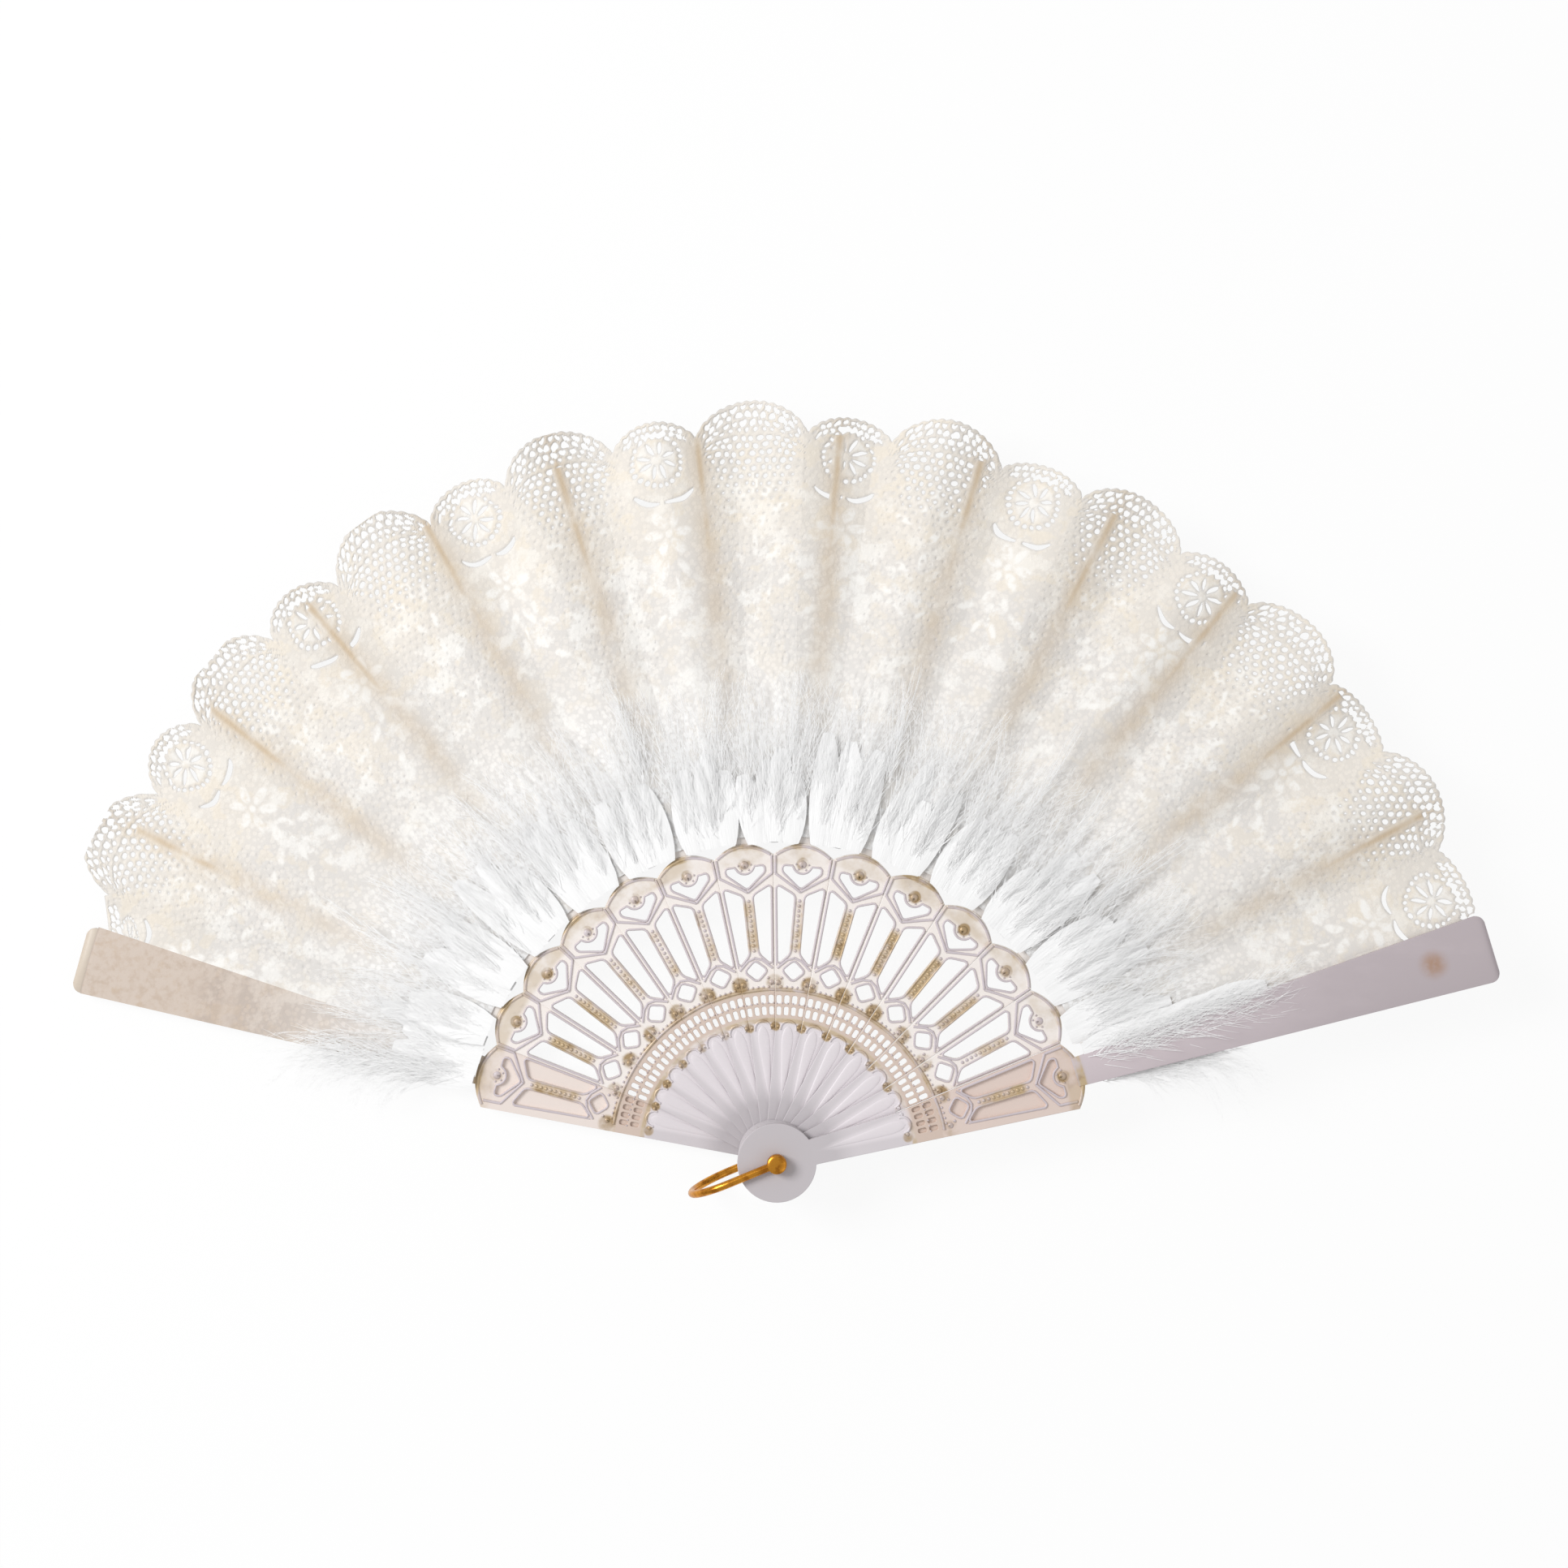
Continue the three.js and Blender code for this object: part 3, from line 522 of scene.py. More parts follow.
def joined(name, meshes):
    """One mesh from several, in the first one's material."""
    work, result = bmesh.new(), bpy.data.meshes.new(name)
    for mesh in meshes:
        work.from_mesh(mesh)
    for face in work.faces:
        face.material_index = 0
    work.to_mesh(result)
    work.free()
    for material in meshes[0].materials:
        result.materials.append(material)
    return result


def creased(mesh, degrees=40):
    """Smooth faces, with an edge kept sharp where it turns by more than the degrees."""
    mesh.polygons.foreach_set("use_smooth", np.full(len(mesh.polygons), True))
    mesh.set_sharp_from_angle(angle=math.radians(degrees))
    return mesh


def placed(mesh, name, index, top):
    """A copy of a stick's mesh, turned and lifted from the X axis to its place in the fan.
    The place on the stick, in millimetres from the pivot and its top face, is kept as an attribute."""
    copy = mesh.copy()
    copy.name = name
    local = points_of(copy) - (0, 0, top)
    place = copy.attributes.new("place", "FLOAT_VECTOR", "POINT")
    place.data.foreach_set("vector", local.astype(np.float32).ravel())
    turn = Matrix.Rotation(stick_angle(index), 4, "Z")
    copy.transform(Matrix.Translation((0, 0, stick_level(index) * MM)) @ turn)
    return copy


def curve_object(name, lines, flat=False, cyclic=True):
    """Poly lines, in millimetres, as one curve object. A line's fourth value is its thickness."""
    data = bpy.data.curves.new(name, "CURVE")
    data.dimensions = "2D" if flat else "3D"
    for line in lines:
        spline = data.splines.new("POLY")
        spline.points.add(len(line) - 1)
        spline.use_cyclic_u = cyclic
        for point, place in zip(spline.points, line):
            point.co = (*(value * MM for value in (*place, 0)[:3]), 1)
            point.radius = place[3] if len(place) > 3 else 1
    return new_object(name, data)


def moulded_plate(name, outlines, thickness, level, edge):
    """A flat plate with openings and rounded edges."""
    piece = curve_object(name, outlines, flat=True)
    data = piece.data
    data.fill_mode = "BOTH"
    data.extrude = thickness / 2 * MM - edge
    data.bevel_depth = edge
    data.bevel_resolution = 2
    data.offset = -edge
    mesh = baked(piece, name)
    mesh.transform(Matrix.Translation((0, 0, (level + thickness / 2) * MM)))
    return mesh


# Outlines of the gorge, along X
def polar(radius, angle):
    return (radius * math.cos(angle), radius * math.sin(angle))


def arc(radius, first, last, steps, centre=0.0):
    points = (polar(radius, mix(first, last, step / steps)) for step in range(steps + 1))
    return [(x + centre, y) for x, y in points]


def rounded(points, radius, steps=3):
    """A closed outline with its corners rounded."""
    result = []
    count = len(points)
    for index in range(count):
        before, corner, after = (Vector(points[(index + shift) % count]) for shift in (-1, 0, 1))
        reach = min(radius, (before - corner).length * 0.45, (after - corner).length * 0.45)
        start = corner + (before - corner).normalized() * reach
        end = corner + (after - corner).normalized() * reach
        for step in range(steps + 1):
            share = step / steps
            result.append(tuple(start.lerp(corner, share).lerp(corner.lerp(end, share), share)))
    return result


def crown_line(right, left, steps=18, inset=0.0):
    """The bowed outer edge of a gorge between its two corners."""
    rise = CROWN_RADIUS - (left[0] + right[0]) / 2
    line = []
    for step in range(steps + 1):
        share = step / steps
        bow = rise * (1 - (2 * share - 1) ** 2)
        line.append((mix(right[0], left[0], share) + bow - inset, mix(right[1], left[1], share)))
    return line


def gorge_corners(low_side):
    """The right and left corners of a gorge. A guard is wider on its low side."""
    right, left = (GUARD_GORGE_ANGLE if side == low_side else SHANK_ANGLE for side in (-1, 1))
    return polar(CORNER_RADIUS, -right), polar(CORNER_RADIUS, left)


def paddle_outline(low_side):
    """Head, shank and gorge of a stick in one outline."""
    def shank(side):
        full = HEAD_RADIUS if side == low_side else SHANK_HALF_WIDTH / math.sin(SHANK_ANGLE)
        return (full, side * SHANK_HALF_WIDTH)

    half = math.asin(SHANK_HALF_WIDTH / HEAD_RADIUS)
    head = arc(HEAD_RADIUS, half, 2 * math.pi - half, 48)
    return [*head, shank(-1), *crown_line(*gorge_corners(low_side)), shank(1)]


def window_outline(side):
    def edge_at(radius):
        return side * (radius * SLOPE - EDGE_BAR / math.cos(SHANK_ANGLE))

    bar = side * CENTRE_BAR / 2
    return rounded([(WINDOW_LOW + WINDOW_FOOT, bar), (WINDOW_HIGH - WINDOW_DROP, bar),
                    (WINDOW_HIGH, edge_at(WINDOW_HIGH)), (WINDOW_LOW, edge_at(WINDOW_LOW))], 1.1)


def diamond_outline():
    middle, along, across = DIAMOND
    return rounded([(middle - along, 0), (middle, -across), (middle + along, 0), (middle, across)], 0.9)


def eye_outline():
    """The heart-shaped opening, with its lobes round the crown's boss."""
    end = math.acos((EYE_TOP - PETAL_CENTRE) / PETAL_RADIUS)
    sides = [(EYE_TOP, -EYE_HALF), (EYE_CORNER, -EYE_HALF), (EYE_POINT, 0),
             (EYE_CORNER, EYE_HALF), (EYE_TOP, EYE_HALF)]
    corners = rounded([(EYE_TOP, 0), *sides], 0.8)[4:]
    return corners + arc(PETAL_RADIUS, end, 2 * math.pi - end, 14, PETAL_CENTRE)


def lattice_outlines():
    outlines = []
    step = FOLD_ANGLE / LATTICE_COLUMNS
    for row in range(LATTICE_ROWS):
        inner = LATTICE_INNER + row * (LATTICE_CELL + LATTICE_BAR)
        outer = inner + LATTICE_CELL
        margin = LATTICE_BAR / inner / 2
        for cell in range(LATTICE_COLUMNS):
            first = -SHANK_ANGLE + cell * step + margin
            last = first + step - 2 * margin
            outlines.append(rounded([polar(inner, first), polar(outer, first),
                                     polar(outer, last), polar(inner, last)], 0.7))
    return outlines


def gorge_openings():
    return [window_outline(1), window_outline(-1), diamond_outline(), eye_outline(), *lattice_outlines()]


def pin_outline():
    return arc(PIN_RADIUS + 0.08, 2 * math.pi, 0, 24)[:-1]


# Lofted forms
def lofted(name, rings):
    """A closed tube through rings of equal counts, with flat ends."""
    rings = np.asarray(rings, float)
    count, sides = rings.shape[:2]
    index = np.arange(count * sides).reshape(count, sides)
    follow = np.roll(index, -1, 1)
    quads = np.stack([index[:-1], follow[:-1], follow[1:], index[1:]], -1).reshape(-1, 4)
    points = rings.reshape(-1, 3)
    centre = np.stack([rings[0].mean(0), rings[-1].mean(0)])
    first = np.stack([np.full(sides, len(points)), follow[0], index[0]], -1)
    last = np.stack([np.full(sides, len(points) + 1), index[-1], follow[-1]], -1)
    return new_mesh(name, np.vstack([points, centre]), [quads, first, last])


def bar_section(half_width, low, high, edge, tilt=0.0):
    """The rounded section of a flat bar across Y, from low to high."""
    ring = []
    for side_y, side_z, first in ((1, 1, 0), (-1, 1, 90), (-1, -1, 180), (1, -1, 270)):
        for step in range(3):
            turn = math.radians(first + 45 * step)
            y = side_y * (half_width - edge) + edge * math.cos(turn)
            z = (high - edge if side_z > 0 else low + edge) + edge * math.sin(turn)
            ring.append((y, z + tilt * y))
    return ring


def rib_mesh():
    """The thin rib behind the leaf, tilted with the pleat that is glued on it."""
    rings = []
    for radius in np.linspace(RIB_START, RIB_TIP - 1.5, 26).tolist() + [RIB_TIP - 0.5, RIB_TIP]:
        half = mix(*RIB_HALF_WIDTHS, (radius - RIB_START) / (RIB_TIP - RIB_START))
        half *= math.sqrt(max(1 - max(radius - RIB_TIP + 1.5, 0) ** 2 / 2.6, 0.1))
        slope = pleat_height(radius) / (2 * radius * math.sin(PLEAT_ANGLE))
        slope *= smooth_step(CROWN_RADIUS, RIB_FREE, radius)
        rings.append([(radius, y, z) for y, z in bar_section(half, 0, RIB_THICKNESS, 0.12, slope)])
    return lofted("rib", rings)


def ridge_mesh(level):
    """The long rounded reed along the middle of a shank, widest at four fifths of its length."""
    rings = []
    for radius in np.linspace(RIDGE_START, RIDGE_START + RIDGE_LENGTH, 24):
        share = (radius - RIDGE_START) / RIDGE_LENGTH
        if share < 0.8:
            width = RIDGE_WIDTH * (share / 0.8) ** 0.75
        else:
            width = RIDGE_WIDTH * math.sqrt(max(1 - ((share - 0.8) / 0.2) ** 2, 0))
        width = max(width, 0.03)
        height = RIDGE_HEIGHT * min(width / 0.9, 1)
        rings.append([(radius, width * math.cos(turn), level + height * max(math.sin(turn), -1.2))
                      for turn in np.linspace(0, 2 * math.pi, 16, endpoint=False)])
    return lofted("ridge", rings)


def blade_mesh(low, high):
    """A guard's blade with rounded edges, between two heights that change along it."""
    stops = [(radius, 0.0) for radius in np.linspace(BLADE_ROOT, BLADE_END, 40)]
    for step in range(1, 8):
        turn = step / 8 * math.pi / 2
        stops.append((BLADE_END + BLADE_CORNER * math.sin(turn), BLADE_CORNER * (1 - math.cos(turn))))
    rings = []
    for radius, inset in stops:
        half = radius * math.tan(BLADE_ANGLE) - inset
        worn = 0.35 * smooth_step(GUARD_TIP - 1.2, GUARD_TIP, radius)
        section = bar_section(half, low(radius) + worn, high(radius) - worn, 0.4)
        rings.append([(radius, y, z) for y, z in section])
    return lofted("blade", rings)


# Geometry node groups
def new_group(name, **inputs):
    """A geometry node group with the inputs' kinds by name, and its inputs as values."""
    tree = bpy.data.node_groups.new(name, "GeometryNodeTree")
    for key, kind in {"Geometry": "Geometry", **inputs}.items():
        tree.interface.new_socket(key, in_out="INPUT", socket_type=f"NodeSocket{kind}")
    tree.interface.new_socket("Geometry", in_out="OUTPUT", socket_type="NodeSocketGeometry")
    start = add(tree, "NodeGroupInput")
    return tree, {key: start.out(key) for key in ("Geometry", *inputs)}


def end_group(tree, made, material, smooth=False):
    """Ends a group with real faces that have a material."""
    made = add(tree, "GeometryNodeRealizeInstances", {"Geometry": made})
    if smooth:
        made = add(tree, "GeometryNodeSetShadeSmooth", {"Geometry": made})
    made = add(tree, "GeometryNodeSetMaterial", {"Geometry": made, "Material": material})
    plug(tree, tree.nodes.new("NodeGroupOutput").inputs[0], made)
    return tree


def run_tree(piece, tree, **values):
    """Adds a geometry nodes modifier, sets its inputs by identifier, and returns the plain mesh."""
    modifier = piece.modifiers.new(tree.name, "NODES")
    modifier.node_group = tree
    found = {item.name: item.identifier for item in tree.interface.items_tree if item.in_out == "INPUT"}
    for key, value in values.items():
        modifier[found[key.capitalize()]] = value
    return baked(piece, piece.name)


def tube_tree():
    """Tubes along curves, as thick as the curve's radius says."""
    tree, given = new_group("Raised rims", Size="Float", Material="Material")
    ring = add(tree, "GeometryNodeCurvePrimitiveCircle", {"Resolution": 6, "Radius": given["Size"]})
    made = add(tree, "GeometryNodeCurveToMesh", {
        "Curve": given["Geometry"], "Profile Curve": ring,
        "Scale": add(tree, "GeometryNodeInputRadius"), "Fill Caps": True})
    return end_group(tree, made, given["Material"], True)


def bead_tree():
    """Beads set along curves, flattened where they are large."""
    tree, given = new_group("Bead rows", Size="Float", Pitch="Float", Material="Material")
    radius = add(tree, "GeometryNodeInputRadius")
    flat = {"X": radius, "Y": radius, "Z": radius.math("MINIMUM", radius, 0.7)}
    points = add(tree, "GeometryNodeResampleCurve", {"Curve": given["Geometry"], "Length": given["Pitch"]},
                 mode="LENGTH")
    made = add(tree, "GeometryNodeInstanceOnPoints", {
        "Points": points, "Instance": add(tree, "GeometryNodeMeshIcoSphere", {
            "Radius": given["Size"], "Subdivisions": 2}),
        "Scale": add(tree, "ShaderNodeCombineXYZ", flat)})
    return end_group(tree, made, given["Material"], True)


# Ornament in relief
def inset_line(outline, level, grow):
    """An outline pushed outwards from its own middle line by grow, at a level."""
    points = [Vector(point) for point in outline]
    area = sum(a.cross(b) for a, b in zip(points, points[1:] + points[:1]))
    result = []
    for index, point in enumerate(points):
        tangent = points[(index + 1) % len(points)] - points[index - 1]
        if tangent.length < 1e-6:
            continue
        outward = Vector((tangent.y, -tangent.x)).normalized() * (grow if area > 0 else -grow)
        result.append((*(point + outward), level))
    return result


def rim_lines(level):
    """Closed rims round the windows, diamond and eye, just outside the openings."""
    outlines = [window_outline(1), window_outline(-1), diamond_outline()]
    return [inset_line(outline, level, 0.4) for outline in outlines] + [inset_line(eye_outline(), level, 0.3)]


def sized(points, level, size):
    return [(*point, level, size) for point in points]


def bar_lines(level, low_side=0):
    """Open raised lines: the crown's bead, the stems and vees round the eye, and the arcs."""
    side = SHANK_ANGLE * 0.97
    lines = [sized(crown_line(*gorge_corners(low_side), 18, 0.8)[1:-1], level - 0.18, 1.6),
             sized(arc(50.0, -side, side, 8), level, 1.3), sized(arc(2.4, -1.7, 1.7, 10, 38.4), level, 1.15)]
    for sign in (1, -1):
        def edge_at(radius, inset):
            return (radius, sign * (radius * SLOPE - inset))

        lines += [sized([(79.2, 0), (81.4, sign * 3.4), edge_at(84.2, 0.5)], level, 1.25),
                  sized([edge_at(84.2, 0.5), edge_at(89.5, 0.6)], level, 1.3),
                  sized([(59.6, 0), (58.8, sign * 2.2), edge_at(56.2, 0.7)], level, 1.2),
                  sized([edge_at(57, 0.5), edge_at(80, 0.5)], level - 0.1, 0.9)]
    return lines


def bead_lines(level):
    """Rows of beads on the centre bar and the arcs, the eye's boss and the spots between sticks."""
    side = SHANK_ANGLE * 0.9
    lines = [sized(arc(50.9, -side * 0.7, side * 0.7, 6), level, 0.7),
             sized(arc(46.0, -side, side, 6), level, 0.5),
             sized([(61.8, 0), (76.6, 0)], level, 0.95)]
    pairs = ((87.4, 1.9, 0.6), (85.9, 1.1, 0.6), (51.9, 4.2, 1.45), (53.4, 3.3, 0.8), (39.0, 3.0, 1.05))
    mirrored = ((x, sign * y, size) for x, y, size in pairs for sign in (1, -1))
    for along, across, size in ((87.4, 0, 2.1), *mirrored):
        lines.append(sized([(along, across - 0.02), (along, across + 0.02)], level, size))
    return lines


def relief_meshes(level, sizes, material, low_side):
    """Raised rims and beads on a stick's top face, as three meshes."""
    tube, beads = tube_tree(), bead_tree()
    closed = curve_object("rims", rim_lines(level + 0.05))
    lines = curve_object("bars", bar_lines(level + 0.02, low_side), cyclic=False)
    dots = curve_object("beads", bead_lines(level), cyclic=False)
    return [run_tree(closed, tube, size=sizes.rim, material=material),
            run_tree(lines, tube, size=sizes.rim, material=material),
            run_tree(dots, beads, size=sizes.bead, pitch=sizes.bead_pitch, material=material)]


def new_stick(parts, thickness, sizes, material, low_side=0):
    """A stick along X from its moulded parts and the relief on its top face, in one material."""
    parts = [creased(mesh) for mesh in parts] + relief_meshes(thickness, sizes, material, low_side)
    for mesh in parts:
        coat(mesh, material)
    return joined("stick", parts)


class FAN_OT_sticks(bpy.types.Operator):
    """Moulds the twelve inner sticks with their pierced and gilded gorges"""

    bl_idname = "fan.sticks"
    bl_label = "Inner sticks"

    def execute(self, context):
        sizes, colours = context.scene.fan_sizes, context.scene.fan_colours
        plate = moulded_plate("plate", [paddle_outline(0), pin_outline(), *gorge_openings()],
                              STICK_THICKNESS, 0, sizes.edge)
        stick = new_stick([plate, ridge_mesh(STICK_THICKNESS), rib_mesh()], STICK_THICKNESS, sizes,
                          plastic_material("ivory_plastic", colours))
        for index in range(1, LAST):
            name = body_name(index)
            mesh = placed(stick, name, index, STICK_THICKNESS)
            new_piece(f"{name}_moulding", mesh, name, replaces=[name])
        return {"FINISHED"}


class FAN_OT_guards(bpy.types.Operator):
    """Moulds the two guards: solid-backed gorges and plain blades"""

    bl_idname = "fan.guards"
    bl_label = "Guards"

    def execute(self, context):
        colours = context.scene.fan_colours
        base = back_blade_top, -BACK_GUARD_LEVEL - BLADE_THICKNESS
        self.build(context, 0, 1, colours.back_blade, 0.5, "ivory_plastic", *base)
        base = front_blade_under, -FRONT_GUARD_LEVEL
        self.build(context, LAST, -1, colours.front_blade, 1.0, "mauve_plastic", *base)
        return {"FINISHED"}

    def build(self, context, index, low_side, tone, age, slot, height, shift):
        sizes, name = context.scene.fan_sizes, body_name(index)
        material = plastic_material(f"{name}_plastic", context.scene.fan_colours, tone, age)
        solid, depth = [paddle_outline(low_side), pin_outline()], GUARD_THICKNESS - POCKET_DEPTH
        parts = [moulded_plate("floor", solid, depth, 0, sizes.edge),
                 moulded_plate("face", [*solid, *gorge_openings()], POCKET_DEPTH + FACE_OVERLAP,
                               depth - FACE_OVERLAP, sizes.edge),
                 ridge_mesh(GUARD_THICKNESS),
                 blade_mesh(lambda r: height(r) + shift, lambda r: height(r) + shift + BLADE_THICKNESS)]
        guard = new_stick(parts, GUARD_THICKNESS, sizes, material, low_side)
        mesh = placed(guard, name, index, GUARD_THICKNESS)
        new_piece(f"{name}_moulding", mesh, name, replaces=[name])


class FAN_OT_fittings(bpy.types.Operator):
    """Turns the rivet and bends the brass bail"""

    bl_idname = "fan.fittings"
    bl_label = "Rivet and bail"

    def execute(self, context):
        brass = brass_material(context.scene.fan_colours)
        new_piece("bail_wire", self.bail(), "bail", brass, ["bail"])
        for name, level, dome in (("rivet_head_back", 0, 0.0), ("rivet_head_front", RIVET_FRONT, 0.3)):
            profile = ((RIVET_HEAD - 0.2, 0), (RIVET_HEAD, 0.15), (RIVET_HEAD, 0.85 - dome),
                       (RIVET_HEAD * 0.93, 0.9 - dome * 0.72), (RIVET_HEAD * 0.75, 0.9 - dome * 0.34),
                       (RIVET_HEAD * 0.5, 0.9 - dome * 0.12), (0.3, 0.9))
            turns = np.linspace(0, 2 * math.pi, 40, endpoint=False)
            mesh = lofted(name, [[(*polar(radius, turn), level + height) for turn in turns]
                                 for radius, height in profile])
            new_piece(f"{name}_cap", creased(mesh, 50), "back_guard", brass, [name])
        coat(bpy.data.objects["rivet_pin"].data, brass)
        return {"FINISHED"}

    def bail(self):
        """A wire from ring to ring round the stack of heads."""
        low, high = BAIL_BACK + WIRE_RADIUS, BAIL_FRONT + WIRE_RADIUS
        bend, middle = (high - low) / 2, (high + low) / 2
        reach = BAIL_REACH - WIRE_RADIUS - bend
        leg = [BAIL_START + (reach - BAIL_START) * step / 8 for step in range(8)]
        path = [(x, 0, low) for x in leg]
        path += [(reach + bend * math.cos(turn), 0, middle + bend * math.sin(turn))
                 for turn in np.linspace(-math.pi / 2, math.pi / 2, 33)]
        wire = curve_object("wire", [path + [(x, 0, high) for x in reversed(leg)]], cyclic=False)
        wire.data.bevel_depth = WIRE_SHARE * WIRE_RADIUS * MM
        wire.data.bevel_resolution = 5
        wire.data.use_fill_caps = True
        rings = [moulded_plate("ring", [arc(EYE_RING, 0, 2 * math.pi, 40)[:-1], pin_outline()],
                               2 * WIRE_RADIUS, level, 0.45 * MM) for level in (BAIL_BACK, BAIL_FRONT)]
        bail = creased(joined("bail", [baked(wire, "wire"), *rings]), 50)
        bail.transform(Matrix.Rotation(BAIL_ANGLE, 4, "Z"))
        return bail


# Lace
def lobe_at(angle):
    """Which lobe an angle lies in, and how far across it, from -0.5 to 0.5."""
    turn = (angle - BIG_LOBE_ANGLE) / LOBE_PAIR_ANGLE + BIG_SHARE / 2
    share = turn - np.floor(turn)
    big = share < BIG_SHARE
    across = np.where(big, share / BIG_SHARE, (share - BIG_SHARE) / (1 - BIG_SHARE))
    return big, across - 0.5


def crown_radius(angle, big):
    return np.where(big, BIG_LOBE, SMALL_LOBE) + LOBE_GROWTH * (angle - BIG_LOBE_ANGLE)


def edge_radius(angle):
    """The scalloped edge, with fine picots, drawn in beside the back guard."""
    big, across = lobe_at(angle)
    picot = PICOT_HEIGHT * np.abs(np.sin(across * np.pi * np.where(big, BIG_PICOTS, SMALL_PICOTS)))
    bow = np.clip(1 - 4 * across ** 2, 0, 1) ** LOBE_ROUNDNESS
    edge = mix(NOTCH_RADIUS, crown_radius(angle, big), bow) + picot - 0.4
    drawn_in = np.minimum(edge, END_EDGE - END_EDGE_SLOPE * (angle - END_LOBE_ANGLE))
    return np.where(angle < END_LOBE_ANGLE, edge, drawn_in)


def cells(u, v, pitch, size, loose=0.1):
    """Distance to the nearest hole of a staggered net, whose holes differ a little in size and place."""
    step = pitch * 0.88
    row = np.round(v / step)
    shift = np.where(row % 2 == 0, 0.0, 0.5)
    column = np.round(u / pitch + shift)
    chance = np.sin(row * 12.9898 + column * 78.233) * 43758.5453
    chance -= np.floor(chance)
    other = (chance * 17.31) % 1
    apart_u = (u / pitch + shift - column - (chance - 0.5) * loose * 2) * pitch
    apart_v = v - row * step - (other - 0.5) * loose * 2 * step
    return np.hypot(apart_u, apart_v) - size * (0.84 + 0.34 * other)


def big_lobe_net(x, depth, pitch, hole):
    """Rows of holes that follow the edge and grow smaller down a wedge below a big lobe."""
    reach = mix(16.5, 7.5, smooth_step(6, 46, depth))
    size = hole * mix(1.1, 0.6, smooth_step(3, 30, depth)) * smooth_step(0, 3.2, reach - np.abs(x))
    size *= (1 - 0.7 * np.exp(-((depth - 9.0) / 0.8) ** 2)) * smooth_step(36, 20, depth)
    return np.where(depth > 0.9, cells(x, depth - 1.6, pitch, size), SOLID)


def small_lobe_flower(x, depth, hole):
    """Two rows of holes on the edge, a flower of slits in a ring of holes, and two crescents."""
    net = cells(x, depth - 1.6, 2.1, hole * smooth_step(11, 8, np.abs(x)))
    rows = np.where((depth > 0.9) & (depth < 4.6), net, SOLID)
    y = FLOWER_DEPTH - depth
    turn, leaf = np.arctan2(y, x), np.hypot(x, y)
    spoke = np.abs((turn * FLOWER_PETALS / (2 * np.pi)) % 1 - 0.5) * 2 * np.pi / FLOWER_PETALS * leaf
    slit = spoke - 0.42 * np.sin(np.clip((leaf - 1.6) / 4.4, 0, 1) * np.pi) - 0.1
    slit = np.maximum(slit, np.abs(leaf - 3.8) - 2.1)
    ring = np.hypot(leaf - 7.5, ((turn * 3.5) % 1 - 0.5) * 2.1) - 0.64
    ring = np.where(np.abs(leaf - 7.5) < 1.2, ring, SOLID)
    hang = np.abs(turn + np.pi / 2)
    width = 0.7 * np.sqrt(np.clip(np.sin(np.clip((hang - 0.05) / 0.7, 0, 1) * np.pi), 0, 1))
    crescent = np.abs(leaf - 12.2 - 1.2 * np.sin(hang * 3)) - width
    crescent = np.where((hang > 0.05) & (hang < 0.75), crescent, SOLID)
    return np.minimum.reduce([rows, slit, ring, crescent]), leaf


def satin_leaves(x, y, leaves):
    """Weight of raised leaves, each given as its middle, its turn, and half its length and width."""
    weight = np.zeros(len(x))
    for middle_x, middle_y, turn, long, wide in leaves:
        along = (x - middle_x) * math.cos(turn) + (y - middle_y) * math.sin(turn)
        aside = (y - middle_y) * math.cos(turn) - (x - middle_x) * math.sin(turn)
        weight = np.maximum(weight, smooth_step(1.0, 0.6, np.hypot(along / long, aside / wide)))
    return weight


FLOWER = [*((4.6 * math.cos(turn), 4.6 * math.sin(turn), turn, 3.3, 1.7)
            for turn in np.arange(-0.5, 1.6, 0.52) * math.pi / 1.56),
          (2.6, -10.5, -1.1, 3.4, 1.4), (7.4, -14.5, -0.5, 3.2, 1.3), (2.4, -19.5, -1.2, 3.0, 1.2),
          (0, -15, 1.57, 2.6, 0.5), (6.8, -25, -0.7, 2.8, 1.2), (0, 0, 0, 1.3, 1.3)]
BRANCH = [(0, 13, 1.57, 4.2, 1.8), (4.2, 10.2, 0.9, 3.8, 1.6), (7.6, 5.2, 0.35, 3.4, 1.4),
          (2.2, 1.5, 1.2, 3.0, 1.1), (0, -6, 1.57, 3.6, 1.3), (4.6, -9.5, 0.7, 3.4, 1.3),
          (9.0, -16, 0.5, 3.0, 1.2), (3.2, -21, 1.0, 3.0, 1.1)]


def lace_field(angle, radius, pitch, hole):
    """Distance to the nearest hole, negative inside it, and the petals' weight, over the flat lace.
    A flower of satin leaves lies below each small lobe and a branch below each big one."""
    big, across = lobe_at(angle)
    width = np.where(big, BIG_SHARE, 1 - BIG_SHARE) * LOBE_PAIR_ANGLE
    uneven = 0.3 * np.sin(angle * 83 + radius * 0.37) + 0.25 * np.sin(angle * 151 - radius * 0.61)
    x = across * width * radius + uneven
    depth = edge_radius(angle) - radius
    inward = mix(depth, crown_radius(angle, big) - radius, smooth_step(4, 12, depth)) + 0.5 * uneven
    flower, leaf = small_lobe_flower(x, inward, hole)
    holes = np.where(big, big_lobe_net(x, inward, pitch, hole), flower)
    field = np.minimum.reduce([depth, np.full(len(x), SOLID), holes])
    petal = np.where(big, *(satin_leaves(np.abs(x), radius - SATIN_RADIUS, leaves)
                            for leaves in (BRANCH, FLOWER)))
    ring = np.where(big, 0.0, 0.7 * smooth_step(6.2, 5.4, leaf))
    return field, np.clip(np.maximum(petal * smooth_step(0.3, 0.9, np.minimum(field, 1.2)), ring), 0, 1)


